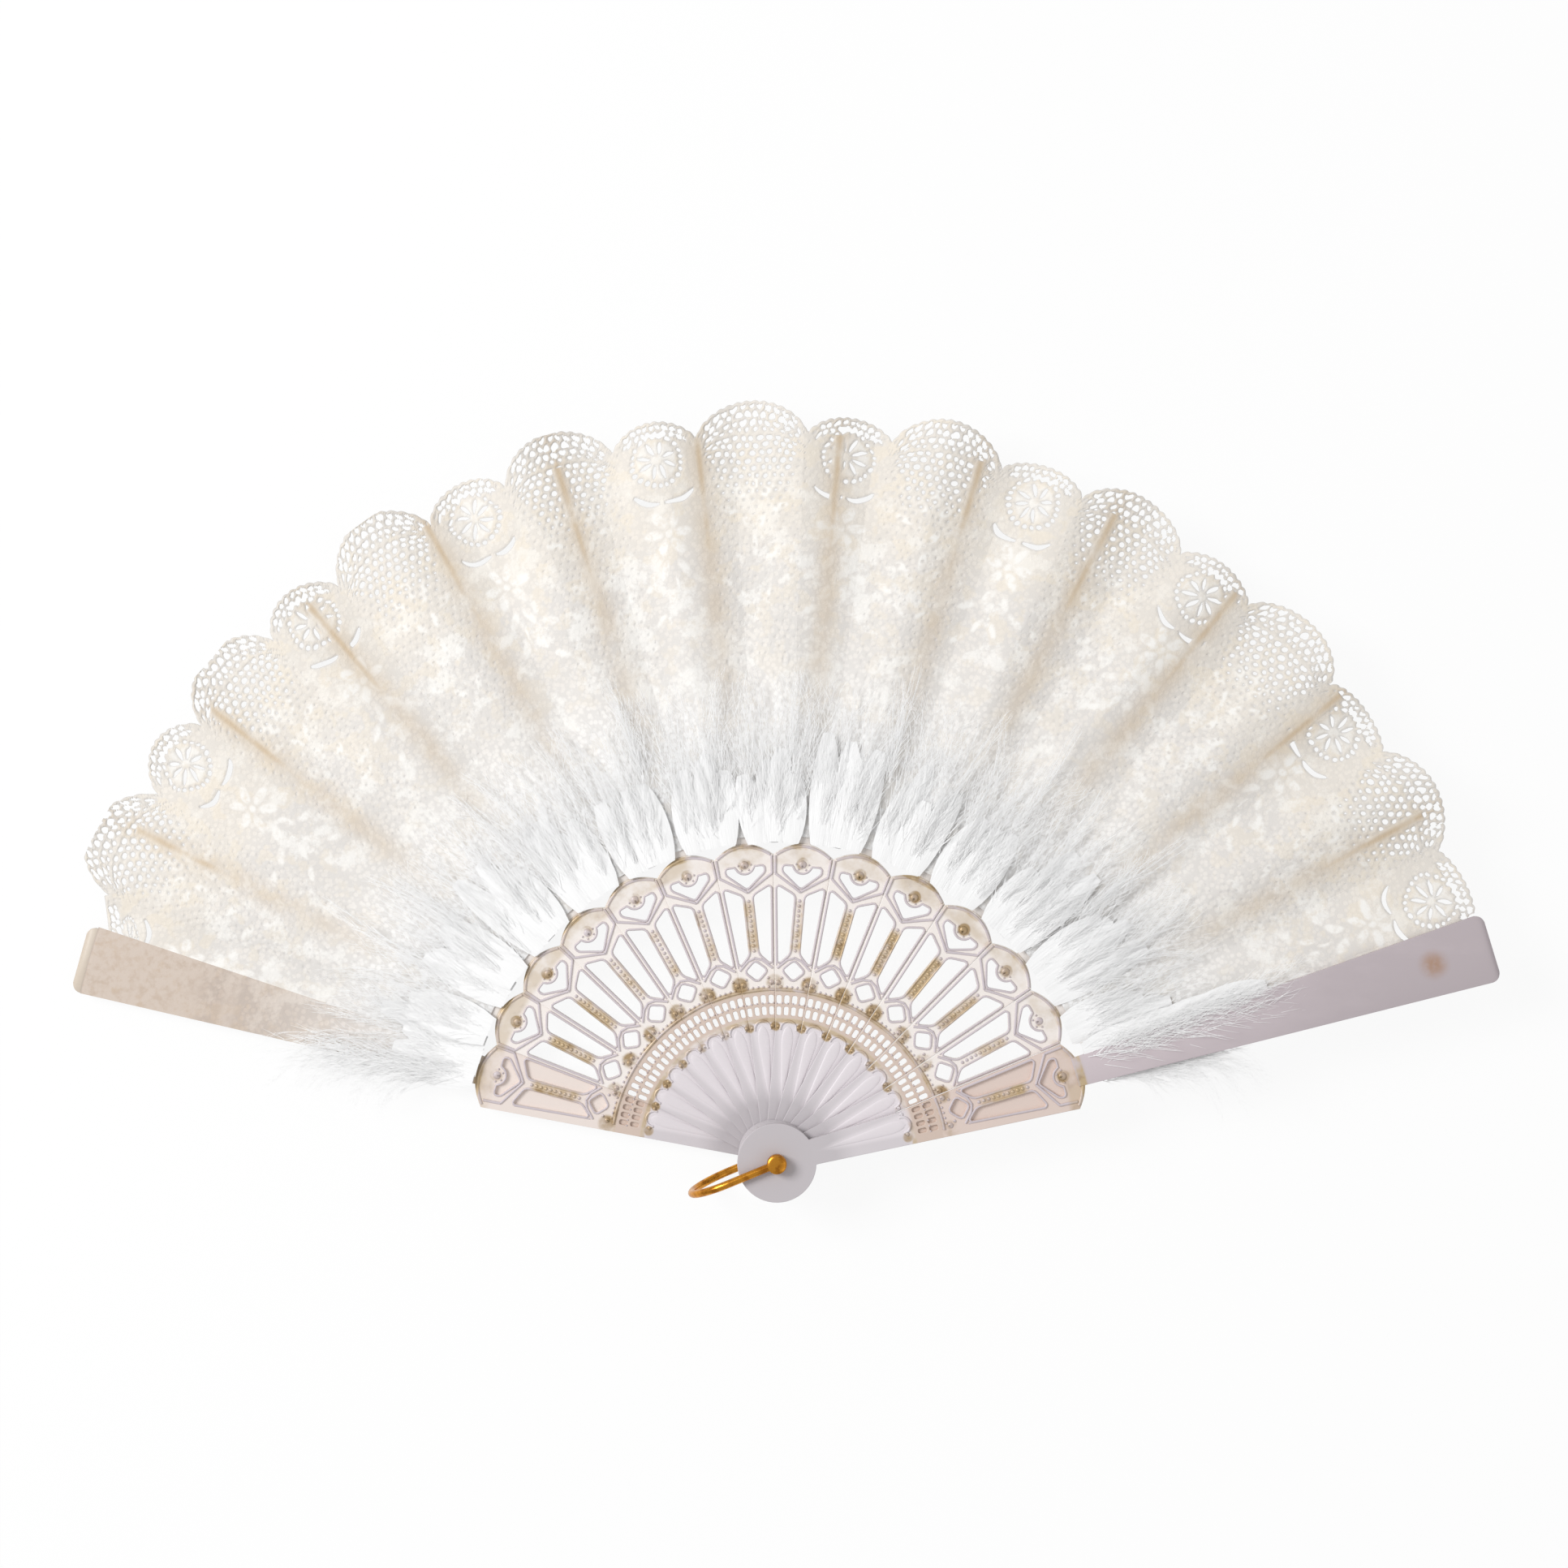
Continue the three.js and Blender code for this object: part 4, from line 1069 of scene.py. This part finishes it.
def clipped(params, triangles, field):
    """The part of a triangle mesh where field is positive; params are carried along its cut edges."""
    def turned(faces, first):
        return np.take_along_axis(faces, (first[:, None] + np.arange(3)) % 3, 1)

    inside = field[triangles] > 0
    count = inside.sum(1)
    one = turned(triangles[count == 1], np.argmax(inside[count == 1], 1))
    two = turned(triangles[count == 2], np.argmin(inside[count == 2], 1))
    edges = np.concatenate([one[:, [0, 1]], one[:, [0, 2]], two[:, [0, 1]], two[:, [0, 2]]])
    edges.sort(axis=1)
    unique, where = np.unique(edges, axis=0, return_inverse=True)
    a, b = field[unique[:, 0]], field[unique[:, 1]]
    share = (a / np.where(a == b, 1, a - b))[:, None]
    added = params[unique[:, 0]] * (1 - share) + params[unique[:, 1]] * share
    cuts = np.cumsum([len(one), len(one), len(two)])
    ab, ac, ub, uc = np.split(where.reshape(-1) + len(params), cuts)
    faces = np.concatenate([
        triangles[count == 3], np.stack([one[:, 0], ab, ac], 1),
        np.stack([ub, two[:, 1], two[:, 2]], 1), np.stack([ub, two[:, 2], uc], 1)])
    used, faces = np.unique(faces, return_inverse=True)
    return np.vstack([params, added])[used], faces.reshape(-1, 3)


def panel_grid(first, last, cell):
    """Triangles over a panel, as shares across it and radii, with cells that grow towards its root."""
    rows = np.concatenate([np.arange(LEAF_INNER, 150, 1.5), np.arange(150, 179, 3 * cell / 2),
                           np.arange(179, BIG_LOBE + 1.5 * cell, cell)])
    columns = max(int(abs(last - first) * NOTCH_RADIUS / cell), 6)
    share, radius = np.meshgrid(np.linspace(0, 1, columns + 1), rows)
    index = np.arange(share.size).reshape(share.shape)
    a, b, c, d = (part.ravel() for part in (index[:-1, :-1], index[1:, :-1], index[1:, 1:], index[:-1, 1:]))
    faces = np.concatenate([np.stack([a, c, b], -1), np.stack([a, d, c], -1)])
    return np.stack([share.ravel(), radius.ravel()], 1), faces if first > last else faces[:, ::-1]


def lace_panel(name, first, last, heights, sizes, limit=None, glued=False, backed=False):
    """One panel of the leaf between two fold lines, pierced by the lace's pattern.
    Where it is glued on a rib or a blade it has no holes. Returns its mesh and the flat cloth's size."""
    def glue_distance(values):
        return np.abs(values[:, 0] - 0.5) * abs(last - first) * values[:, 1]

    def pattern(values):
        radius, angle = values[:, 1], mix(first, last, values[:, 0])
        field, petal = lace_field(angle, radius, sizes.net_pitch, sizes.net_hole)
        if backed:
            petal = smooth_step(176, 186, radius) + 0.6 * smooth_step(3, 1, np.abs(radius - BRAID_RADIUS))
            field = np.full(len(values), SOLID)
        elif glued:
            near = glue_distance(values)
            strip = np.minimum(np.minimum(edge_radius(angle) - radius, SOLID), GLUE_EDGE - near)
            on_glue = (near < GLUE_HALF_WIDTH) & (radius < NOTCH_RADIUS)
            field = np.where(on_glue, np.maximum(field, strip), field)
        if limit:
            field = np.minimum(field, limit - radius)
        return field, np.clip(petal, 0, 1)

    params, faces = panel_grid(first, last, sizes.lace_cell)
    params, faces = clipped(params, faces, pattern(params)[0])
    share, radius = params.T
    angle = mix(first, last, share)
    field, petal = pattern(params)
    profile = mix(share, smooth_step(0, 1, share), sizes.soft_fold)
    height = mix(heights[0](radius), heights[1](radius), profile) + curl_rise(radius)
    free = 4 * share * (1 - share)
    waves = np.array([perlin.noise((a * 16, r * 0.045, 3.1)) for a, r in zip(angle, radius)])
    height += (0.0 if glued else 0.8) * free * waves + 0.12 * np.clip(field, 0, 0.8) * free
    middle = glue_distance(params) if glued else np.full(len(share), 99.0)
    # A narrow tan line on the rib, partly glue stain and partly painted shade, and a broad band of painted
    # shade where the rib lies behind the lace.
    glue = np.exp(-(middle / 1.3) ** 2) * smooth_step(160, 200, radius)
    glue *= 1 - 0.6 * smooth_step(214, 221, radius)
    glue = np.maximum(glue, 0.5 * np.exp(-(middle / 3.6) ** 2) * smooth_step(118, 165, radius))
    # Painted shade: the thread darkens towards each hole's edge.
    mesh = new_mesh(name, np.stack([radius * np.cos(angle), radius * np.sin(angle), height], 1), faces, {
        "thread": 0.9 - 0.9 * smooth_step(0.0, 0.5, field), "petal": petal,
        "glue": glue * (0 if backed else 1), "pile": smooth_step(0.0, 0.7, field) + 0.5 * petal,
        "backed": np.full(len(share), 1.0 if backed else 0.0)})
    edge = edge_radius(np.linspace(first, last, 60))
    outer = limit if backed else np.minimum(edge, limit or BIG_LOBE * 2).mean()
    span = abs(last - first)
    area = span * (outer ** 2 - LEAF_INNER ** 2) / 2
    flat = (max(span * outer, 10.0) * MM, (outer - LEAF_INNER) * MM)
    return mesh, flat, min(area * MM * MM, flat[0] * flat[1])


class FAN_OT_leaf(bpy.types.Operator):
    """Cuts the pleated lace leaf, one panel between each two folds"""

    bl_idname = "fan.leaf"
    bl_label = "Lace leaf"

    def execute(self, context):
        sizes = context.scene.fan_sizes
        lace = lace_material(context.scene.fan_colours)

        def panel(name, first, last, heights, body, rests_on, gore=None, **options):
            mesh, flat, area = lace_panel(name, first, last, heights, sizes, **options)
            piece = new_piece(name, mesh, body, lace, [f"leaf_gore_{gore:02d}"] if gore else ())
            return piece

        for index in range(LAST):
            gore, here = index + 1, stick_angle(index)
            start = here + (PLEAT_ANGLE if index else BLADE_ANGLE)
            fold, end = here - PLEAT_ANGLE, stick_angle(index + 1) + PLEAT_ANGLE
            ridge, valley, following = (lambda r: ridge_at(index, r), lambda r: valley_at(index, r),
                                        lambda r: ridge_at(index + 1, r))
            panel(f"leaf_glued_{gore:02d}", start, fold, (ridge, valley), body_name(index),
                  f"{body_name(index)}_moulding", gore, limit=None if index else BLADE_END, glued=True,
                  backed=index == 0)
            piece = panel(f"leaf_free_{gore:02d}", fold, end, (valley, following), None,
                          f"leaf_glued_{gore:02d}", gore)
            self.fold(piece, index, fold, end)
        heights = [lambda r: ridge_at(LAST, r)] * 2
        panel("leaf_end_strip", end, end - STRIP_ANGLE, heights, "front_guard", "front_guard_moulding",
              limit=BLADE_END)
        return {"FINISHED"}

    def fold(self, piece, index, fold, end):
        """Bakes a free panel's placement into its mesh. The middle of the strip it would turn in is found but
        not used.
        """
        middle = (fold + end) / 2
        centre = Vector((*polar(TURNING_RADIUS, middle), valley_at(index, TURNING_RADIUS)))
        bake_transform(piece)


# Down
def barb_tree():
    """Hairs set along the shafts of plumes, leaning outwards and taking a material."""
    tree, given = new_group("Down barbs", Pitch="Float", Lean="Float", Length="Float", Barb="Object",
                            Material="Material", Seed="Int")

    def scatter(low, high, salt):
        seed = add(tree, "FunctionNodeIntegerMath", {0: given["Seed"], 1: salt}, operation="ADD")
        return add(tree, "FunctionNodeRandomValue", {2: low, 3: high, "Seed": seed}, 1, data_type="FLOAT")

    def vector(x, y, z):
        return add(tree, "ShaderNodeCombineXYZ", {"X": x, "Y": y, "Z": z})

    shafts = add(tree, "GeometryNodeResampleCurve", {"Curve": given["Geometry"], "Length": given["Pitch"]},
                 mode="LENGTH")
    barb = add(tree, "GeometryNodeObjectInfo", {"Object": given["Barb"]}, "Geometry")
    tangent = add(tree, "GeometryNodeInputTangent")
    aim = add(tree, "FunctionNodeAlignRotationToVector", {"Vector": tangent}, axis="X")
    angles = vector(scatter(-0.5, 0.5, 2), scatter(-0.14, 0.06, 3), scatter(-1.0, 1.0, 1) * given["Lean"])
    local = add(tree, "FunctionNodeEulerToRotation", {"Euler": angles})
    turned = add(tree, "FunctionNodeRotateRotation", {"Rotation": aim, "Rotate By": local},
                 rotation_space="LOCAL")
    along = add(tree, "GeometryNodeSplineParameter", None, "Factor")
    taper = add(tree, "ShaderNodeMapRange", {"Value": along, "To Min": 1.0, "To Max": 0.45})
    stretch = vector(given["Length"], 1.0, given["Length"])
    size = add(tree, "ShaderNodeVectorMath", {0: stretch, "Scale": scatter(0.45, 1.15, 4) * taper},
               operation="SCALE")
    hairs = add(tree, "GeometryNodeInstanceOnPoints", {
        "Points": shafts, "Instance": barb, "Rotation": turned, "Scale": size})
    return end_group(tree, hairs, given["Material"])


def upright(mesh):
    """The same hairs with every face turned to the light above and shaded as part of one soft pile."""
    points = points_of(mesh)
    count = len(mesh.polygons)
    corners, starts, totals = (np.empty(size, np.int32) for size in (len(mesh.loops), count, count))
    mesh.loops.foreach_get("vertex_index", corners)
    mesh.polygons.foreach_get("loop_start", starts)
    mesh.polygons.foreach_get("loop_total", totals)
    groups, normals = [], np.zeros_like(points)
    for sides in (3, 4):
        faces = corners[starts[totals == sides][:, None] + np.arange(sides)]
        first, second, third = (points[faces[:, corner]] for corner in range(3))
        normal = np.cross(second - first, third - first)
        under = normal[:, 2] < 0
        faces[under], normal[under] = faces[under][:, ::-1], -normal[under]
        for corner in range(sides):
            np.add.at(normals, faces[:, corner], normal)
        groups.append(faces)
    result = new_mesh(mesh.name, points, groups)
    normals /= np.linalg.norm(normals, axis=1, keepdims=True) + 1e-9
    normals = 0.2 * normals + (0, 0, 0.8)
    normals /= np.linalg.norm(normals, axis=1, keepdims=True)
    result.normals_split_custom_set_from_vertices(normals.tolist())
    return result


def barb_object(length, width):
    """One hair: a thin ribbon that droops and narrows to a point."""
    steps = 4
    points = []
    for share in np.arange(steps) / steps:
        half, droop = width / MM / 2 * (1 - 0.7 * share), 0.9 * share ** 2
        points += [(length / MM * share, -half, droop), (length / MM * share, half, droop)]
    points.append((length / MM, 0, 1.1))
    quads = [(2 * s, 2 * s + 2, 2 * s + 3, 2 * s + 1) for s in range(steps - 1)]
    tip = [(2 * steps - 2, 2 * steps, 2 * steps - 1)]
    return new_object("barb", new_mesh("barb", points, [np.array(quads), np.array(tip)]))


def tuft_limits(index):
    """The angles that a tuft's plumes leave from, and how far out they reach."""
    middle = stick_angle(index)
    if index == 0:
        return middle - SHANK_ANGLE, middle + BLADE_ANGLE, DOWN_END_OUTER
    if index == LAST:
        return middle - BLADE_ANGLE, middle, DOWN_END_OUTER
    return middle - SHANK_ANGLE, middle + SHANK_ANGLE, DOWN_OUTER


def down_base(index, radius):
    """The height of what a tuft lies on."""
    if index == LAST:
        return front_blade_under(radius) - 0.8
    return max(ridge_at(index, radius), ridge_at(index + 1, radius) - pleat_height(radius) / 2) + 0.6


def shaft_line(index, angle, root, length, swing, lift, over=False):
    """A curved shaft from its root outwards, rising off the leaf, or off the front guard, and coming back."""
    line = []
    for step in range(8):
        part = step / 7
        bend = swing * part + 0.3 * swing * part ** 2
        x, y = root + length * part * math.cos(bend), length * part * math.sin(bend)
        radius = math.hypot(x, y)
        rise = lift * math.sin(math.pi * min(part * 0.8 + 0.06, 1))
        height = down_base(index, radius) + (-rise if index == LAST else rise)
        if over:
            height = FRONT_GUARD_LEVEL + GUARD_THICKNESS + 0.5 + rise
        line.append((*polar(radius, angle + math.atan2(y, x)), height))
    return line


def plume_lines(index, plumes, seed):
    """The middle lines of a tuft's plumes. The two end tufts also hang out beside their guards, and the
    last one lies over the edge of the front guard too."""
    chance = np.random.default_rng(seed * 100 + index)
    first, last, outer = tuft_limits(index)
    lines = []
    for plume in range(plumes):
        share = (plume + chance.uniform(0.1, 0.9)) / plumes
        if 0 < index < LAST:
            share = 0.5 + math.copysign(abs(2 * share - 1) ** 0.75 / 2, share - 0.5)
        root = DOWN_INNER - 1.5 + abs(chance.normal(0, 11))
        length = min(chance.uniform(20, 48), outer - 5 - root)
        lines.append(shaft_line(index, mix(first, last, share), root, length, chance.normal(0, 0.10),
                                chance.uniform(0.1, 1.3)))
    if index in (0, LAST):
        away = 1 if index == 0 else -1
        for root in np.arange(DOWN_INNER, 136 if index == 0 else 124, 0.8):
            angle = stick_angle(index) + away * BLADE_ANGLE * chance.uniform(0.5, 1)
            lines.append(shaft_line(index, angle, root, chance.uniform(12, 28),
                                    away * chance.uniform(0.12, 0.55), 0.3))
    if index == LAST:
        for root in np.arange(DOWN_INNER - 1, 140, 1.6):
            angle = stick_angle(LAST) + BLADE_ANGLE * chance.uniform(0.3, 1.25)
            length = min(chance.uniform(12, 30), GUARD_DOWN_OUTER - root)
            lines.append(shaft_line(index, angle, root, length, chance.uniform(-0.05, 0.12), 0.8, True))
    return lines


def puff_lines(index, seed):
    """The middle lines of the soft puffs on the gorge's edge, two on each side of a rib."""
    chance = np.random.default_rng(seed * 300 + index)
    first, last, _ = tuft_limits(index)
    if index == LAST:
        return [shaft_line(index, stick_angle(LAST) + 1.15 * BLADE_ANGLE, root, 24, 0.01, 0.1, True)
                for root in (95.5, 106.5, 117.5, 128.5)]
    shares = (0.05, 0.28, 0.72, 0.95) if index else (0.07, 0.36, 0.66, 0.92)
    return [shaft_line(index, mix(first, last, share), DOWN_INNER - 3.9 + chance.uniform(0, 0.7),
                       chance.uniform(20, 34), chance.normal(0, 0.05), chance.uniform(0, 0.4))
            for share in shares]


def streamer_lines(index, seed):
    """The middle lines of a few long narrow plumes that lie on top, and of two that start further out."""
    chance = np.random.default_rng(seed * 400 + index)
    first, last, outer = tuft_limits(index)
    shares = (0.1, 0.3, 0.74, 0.92) if index else (0.05, 0.25, 0.5, 0.8)
    lines = []
    for share in shares:
        angle = mix(first, last, share) + chance.normal(0, 0.008)
        root, length = DOWN_INNER + chance.uniform(0, 8), chance.uniform(24, outer - 14 - DOWN_INNER)
        lines.append(shaft_line(index, angle, root, length, chance.normal(0, 0.09), chance.uniform(0.8, 2)))
    for _ in range(2 if index < LAST else 0):
        angle = mix(first, last, chance.uniform(0.15, 0.85))
        root, length = DOWN_INNER + chance.uniform(16, 26), chance.uniform(20, 34)
        lines.append(shaft_line(index, angle, root, length, chance.normal(0, 0.12), chance.uniform(0.8, 1.6)))
    return lines


def puff_mesh(name, lines, half):
    """A low crowned body along each line, round at its root and pointed at its tip."""
    points, faces = [], []
    across = np.linspace(-1, 1, 7)
    for line in map(np.array, lines):
        steps = np.linspace(0, 1, len(line))
        way = np.gradient(line[:, :2], axis=0)
        aside = np.stack([-way[:, 1], way[:, 0]], 1) / np.linalg.norm(way, axis=1, keepdims=True)
        widths = half * np.sqrt(np.clip(np.sin(np.clip(steps * 0.86 + 0.1, 0, 1) * math.pi), 0.01, 1))
        start = len(points)
        for centre, side, width in zip(line, aside, widths):
            points += [(*(centre[:2] + side * width * share), centre[2] - 0.3 * width * share ** 2)
                       for share in across]
        for row in range(len(line) - 1):
            for column in range(len(across) - 1):
                corner = start + row * len(across) + column
                faces.append((corner, corner + len(across), corner + len(across) + 1, corner + 1))
    return new_mesh(name, points, [np.array(faces)])


def hair_shafts(name, lines, seed, index, count, spread):
    """Fine shafts beside each other along every plume, which the hairs grow from, as a curve object."""
    chance = np.random.default_rng(seed * 200 + index)
    shafts = []
    for line in lines:
        for share in np.linspace(-1, 1, count):
            turn = share * spread / SPREAD_RADIUS + chance.normal(0, 0.25 * spread / SPREAD_RADIUS)
            rise = 0.3 - 0.5 * share ** 2 + chance.uniform(-0.2, 0.2)
            shafts.append([(x * math.cos(turn) - y * math.sin(turn), x * math.sin(turn) + y * math.cos(turn),
                            z + rise) for x, y, z in line])
    return curve_object(name, shafts, cyclic=False)


class FAN_OT_down(bpy.types.Operator):
    """Grows the tufts of marabou down round the gorge"""

    bl_idname = "fan.down"
    bl_label = "Marabou down"

    def execute(self, context):
        sizes, seed = context.scene.fan_sizes, context.scene.fan_sizes.seed
        material = down_material(context.scene.fan_colours)
        tree, barb = barb_tree(), barb_object(sizes.barb_length, sizes.barb_width)
        for index in range(LAST + 1):
            name = f"marabou_{index + 1:02d}"
            lines = plume_lines(index, sizes.plumes, seed)
            loose = hair_shafts(f"{name}_tuft", lines, seed, index, 3, 1.6)
            close = hair_shafts(f"{name}_streamers", streamer_lines(index, seed), seed, index, 5, 0.9)
            hairs = run_tree(loose, tree, pitch=sizes.barb_pitch, lean=0.55, length=1.0, barb=barb,
                             material=material, seed=seed + 31 * index)
            streamers = run_tree(close, tree, pitch=0.55 * sizes.barb_pitch, lean=0.3, length=0.55, barb=barb,
                                 material=material, seed=seed + 37 * index)
            puffs = puff_mesh(f"{name}_puffs", puff_lines(index, seed), PUFF_HALF_WIDTH)
            mesh = upright(joined(f"{name}_tuft", [hairs, streamers, puffs]))
            level = valley_at(index, SQUASH_RADIUS) - (0 if index else 0.3)
            if index == LAST:
                level = front_blade_under(SQUASH_RADIUS)
            piece = new_piece(f"{name}_tuft", mesh, body_name(index), material, [name])
            level * MM
            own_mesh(piece)
        bpy.data.objects.remove(barb)
        return {"FINISHED"}


# Stage
class FAN_OT_stage(bpy.types.Operator):
    """Sets the pale floor, the soft lights and the camera straight above the fan"""

    bl_idname = "fan.stage"
    bl_label = "Stage"

    def execute(self, context):
        context.scene.view_settings.view_transform = "Standard"
        self.floor()
        self.lights(context.scene)
        camera = bpy.data.cameras.new("camera")
        camera.lens = CAMERA_LENS
        camera.clip_start, camera.clip_end = 0.05, 20
        holder = new_object("camera", camera)
        holder.location = CAMERA_PLACE
        context.scene.camera = holder
        return {"FINISHED"}

    def floor(self):
        """A pale floor just under the fan, which looks nearly white."""
        corners = np.array([(-1, -1, 0), (1, -1, 0), (1, 1, 0), (-1, 1, 0)]) * FLOOR_HALF_WIDTH
        mesh = new_mesh("floor", corners + (0, 0, FLOOR_LEVEL), np.array([[0, 1, 2, 3]]), smooth=False)
        new_object("floor", mesh)
        look = Look("pale_floor", (0.93, 0.93, 0.93))
        look.shader.inputs["Base Color"].default_value = (*look.tone, 1)
        look.shader.inputs["Roughness"].default_value = 0.9
        path = look.add("ShaderNodeLightPath")
        seen = path.largest(path.out("Is Glossy Ray"), path.out("Is Transmission Ray"))
        white = look.add("ShaderNodeEmission", {"Color": (1, 1, 1, 1), "Strength": 1.0})
        own = Value(look.tree, look.shader.outputs[0])
        mixed = look.add("ShaderNodeMixShader", {0: seen * 0.9, 1: own, 2: white})
        plug(look.tree, look.tree.nodes["Material Output"].inputs["Surface"], mixed)
        coat(mesh, look.material)

    def lights(self, scene):
        world = scene.world = bpy.data.worlds.new("studio")
        world.use_nodes = True
        background = world.node_tree.nodes["Background"]
        background.inputs["Color"].default_value = (1, 1, 1, 1)
        strength = add(world.node_tree, "ShaderNodeMapRange", {
            "Value": add(world.node_tree, "ShaderNodeLightPath"), "To Min": 0.485, "To Max": 1.0})
        plug(world.node_tree, background.inputs["Strength"], strength)
        for name, place, size, power in LAMPS:
            lamp = bpy.data.lights.new(name, "AREA")
            lamp.size, lamp.energy = size, power
            holder = new_object(name, lamp)
            holder.location = place
            holder.rotation_mode = "QUATERNION"
            holder.rotation_quaternion = (Vector((0, 0.1, 0)) - Vector(place)).to_track_quat("-Z", "Y")


class FAN_PT_panel(bpy.types.Panel):
    """Lists the fan's pieces, sizes and colours"""

    bl_idname = "FAN_PT_panel"
    bl_label = "Feather Fan"
    bl_space_type = "VIEW_3D"
    bl_region_type = "UI"
    bl_category = "Fan"

    def draw(self, context):
        layout = self.layout
        for group in (context.scene.fan_sizes, context.scene.fan_colours):
            box = layout.box()
            for key in group.__annotations__:
                box.prop(group, key)
        for kind in OPERATORS:
            layout.operator(kind.bl_idname)


OPERATORS = (FAN_OT_stage, FAN_OT_sticks, FAN_OT_guards, FAN_OT_fittings, FAN_OT_leaf, FAN_OT_down)
CLASSES = (FanSizes, FanColours, *OPERATORS, FAN_PT_panel)


def register():
    for kind in CLASSES:
        bpy.utils.register_class(kind)
    bpy.types.Scene.fan_sizes = bpy.props.PointerProperty(type=FanSizes)
    bpy.types.Scene.fan_colours = bpy.props.PointerProperty(type=FanColours)


def unregister():
    del bpy.types.Scene.fan_colours
    del bpy.types.Scene.fan_sizes
    for kind in reversed(CLASSES):
        bpy.utils.unregister_class(kind)


def main():
    register()
    bpy.ops.fan.stage()
    bpy.ops.fan.sticks()
    bpy.ops.fan.guards()
    bpy.ops.fan.fittings()
    bpy.ops.fan.leaf()
    bpy.ops.fan.down()


if __name__ == "__main__":
    main()
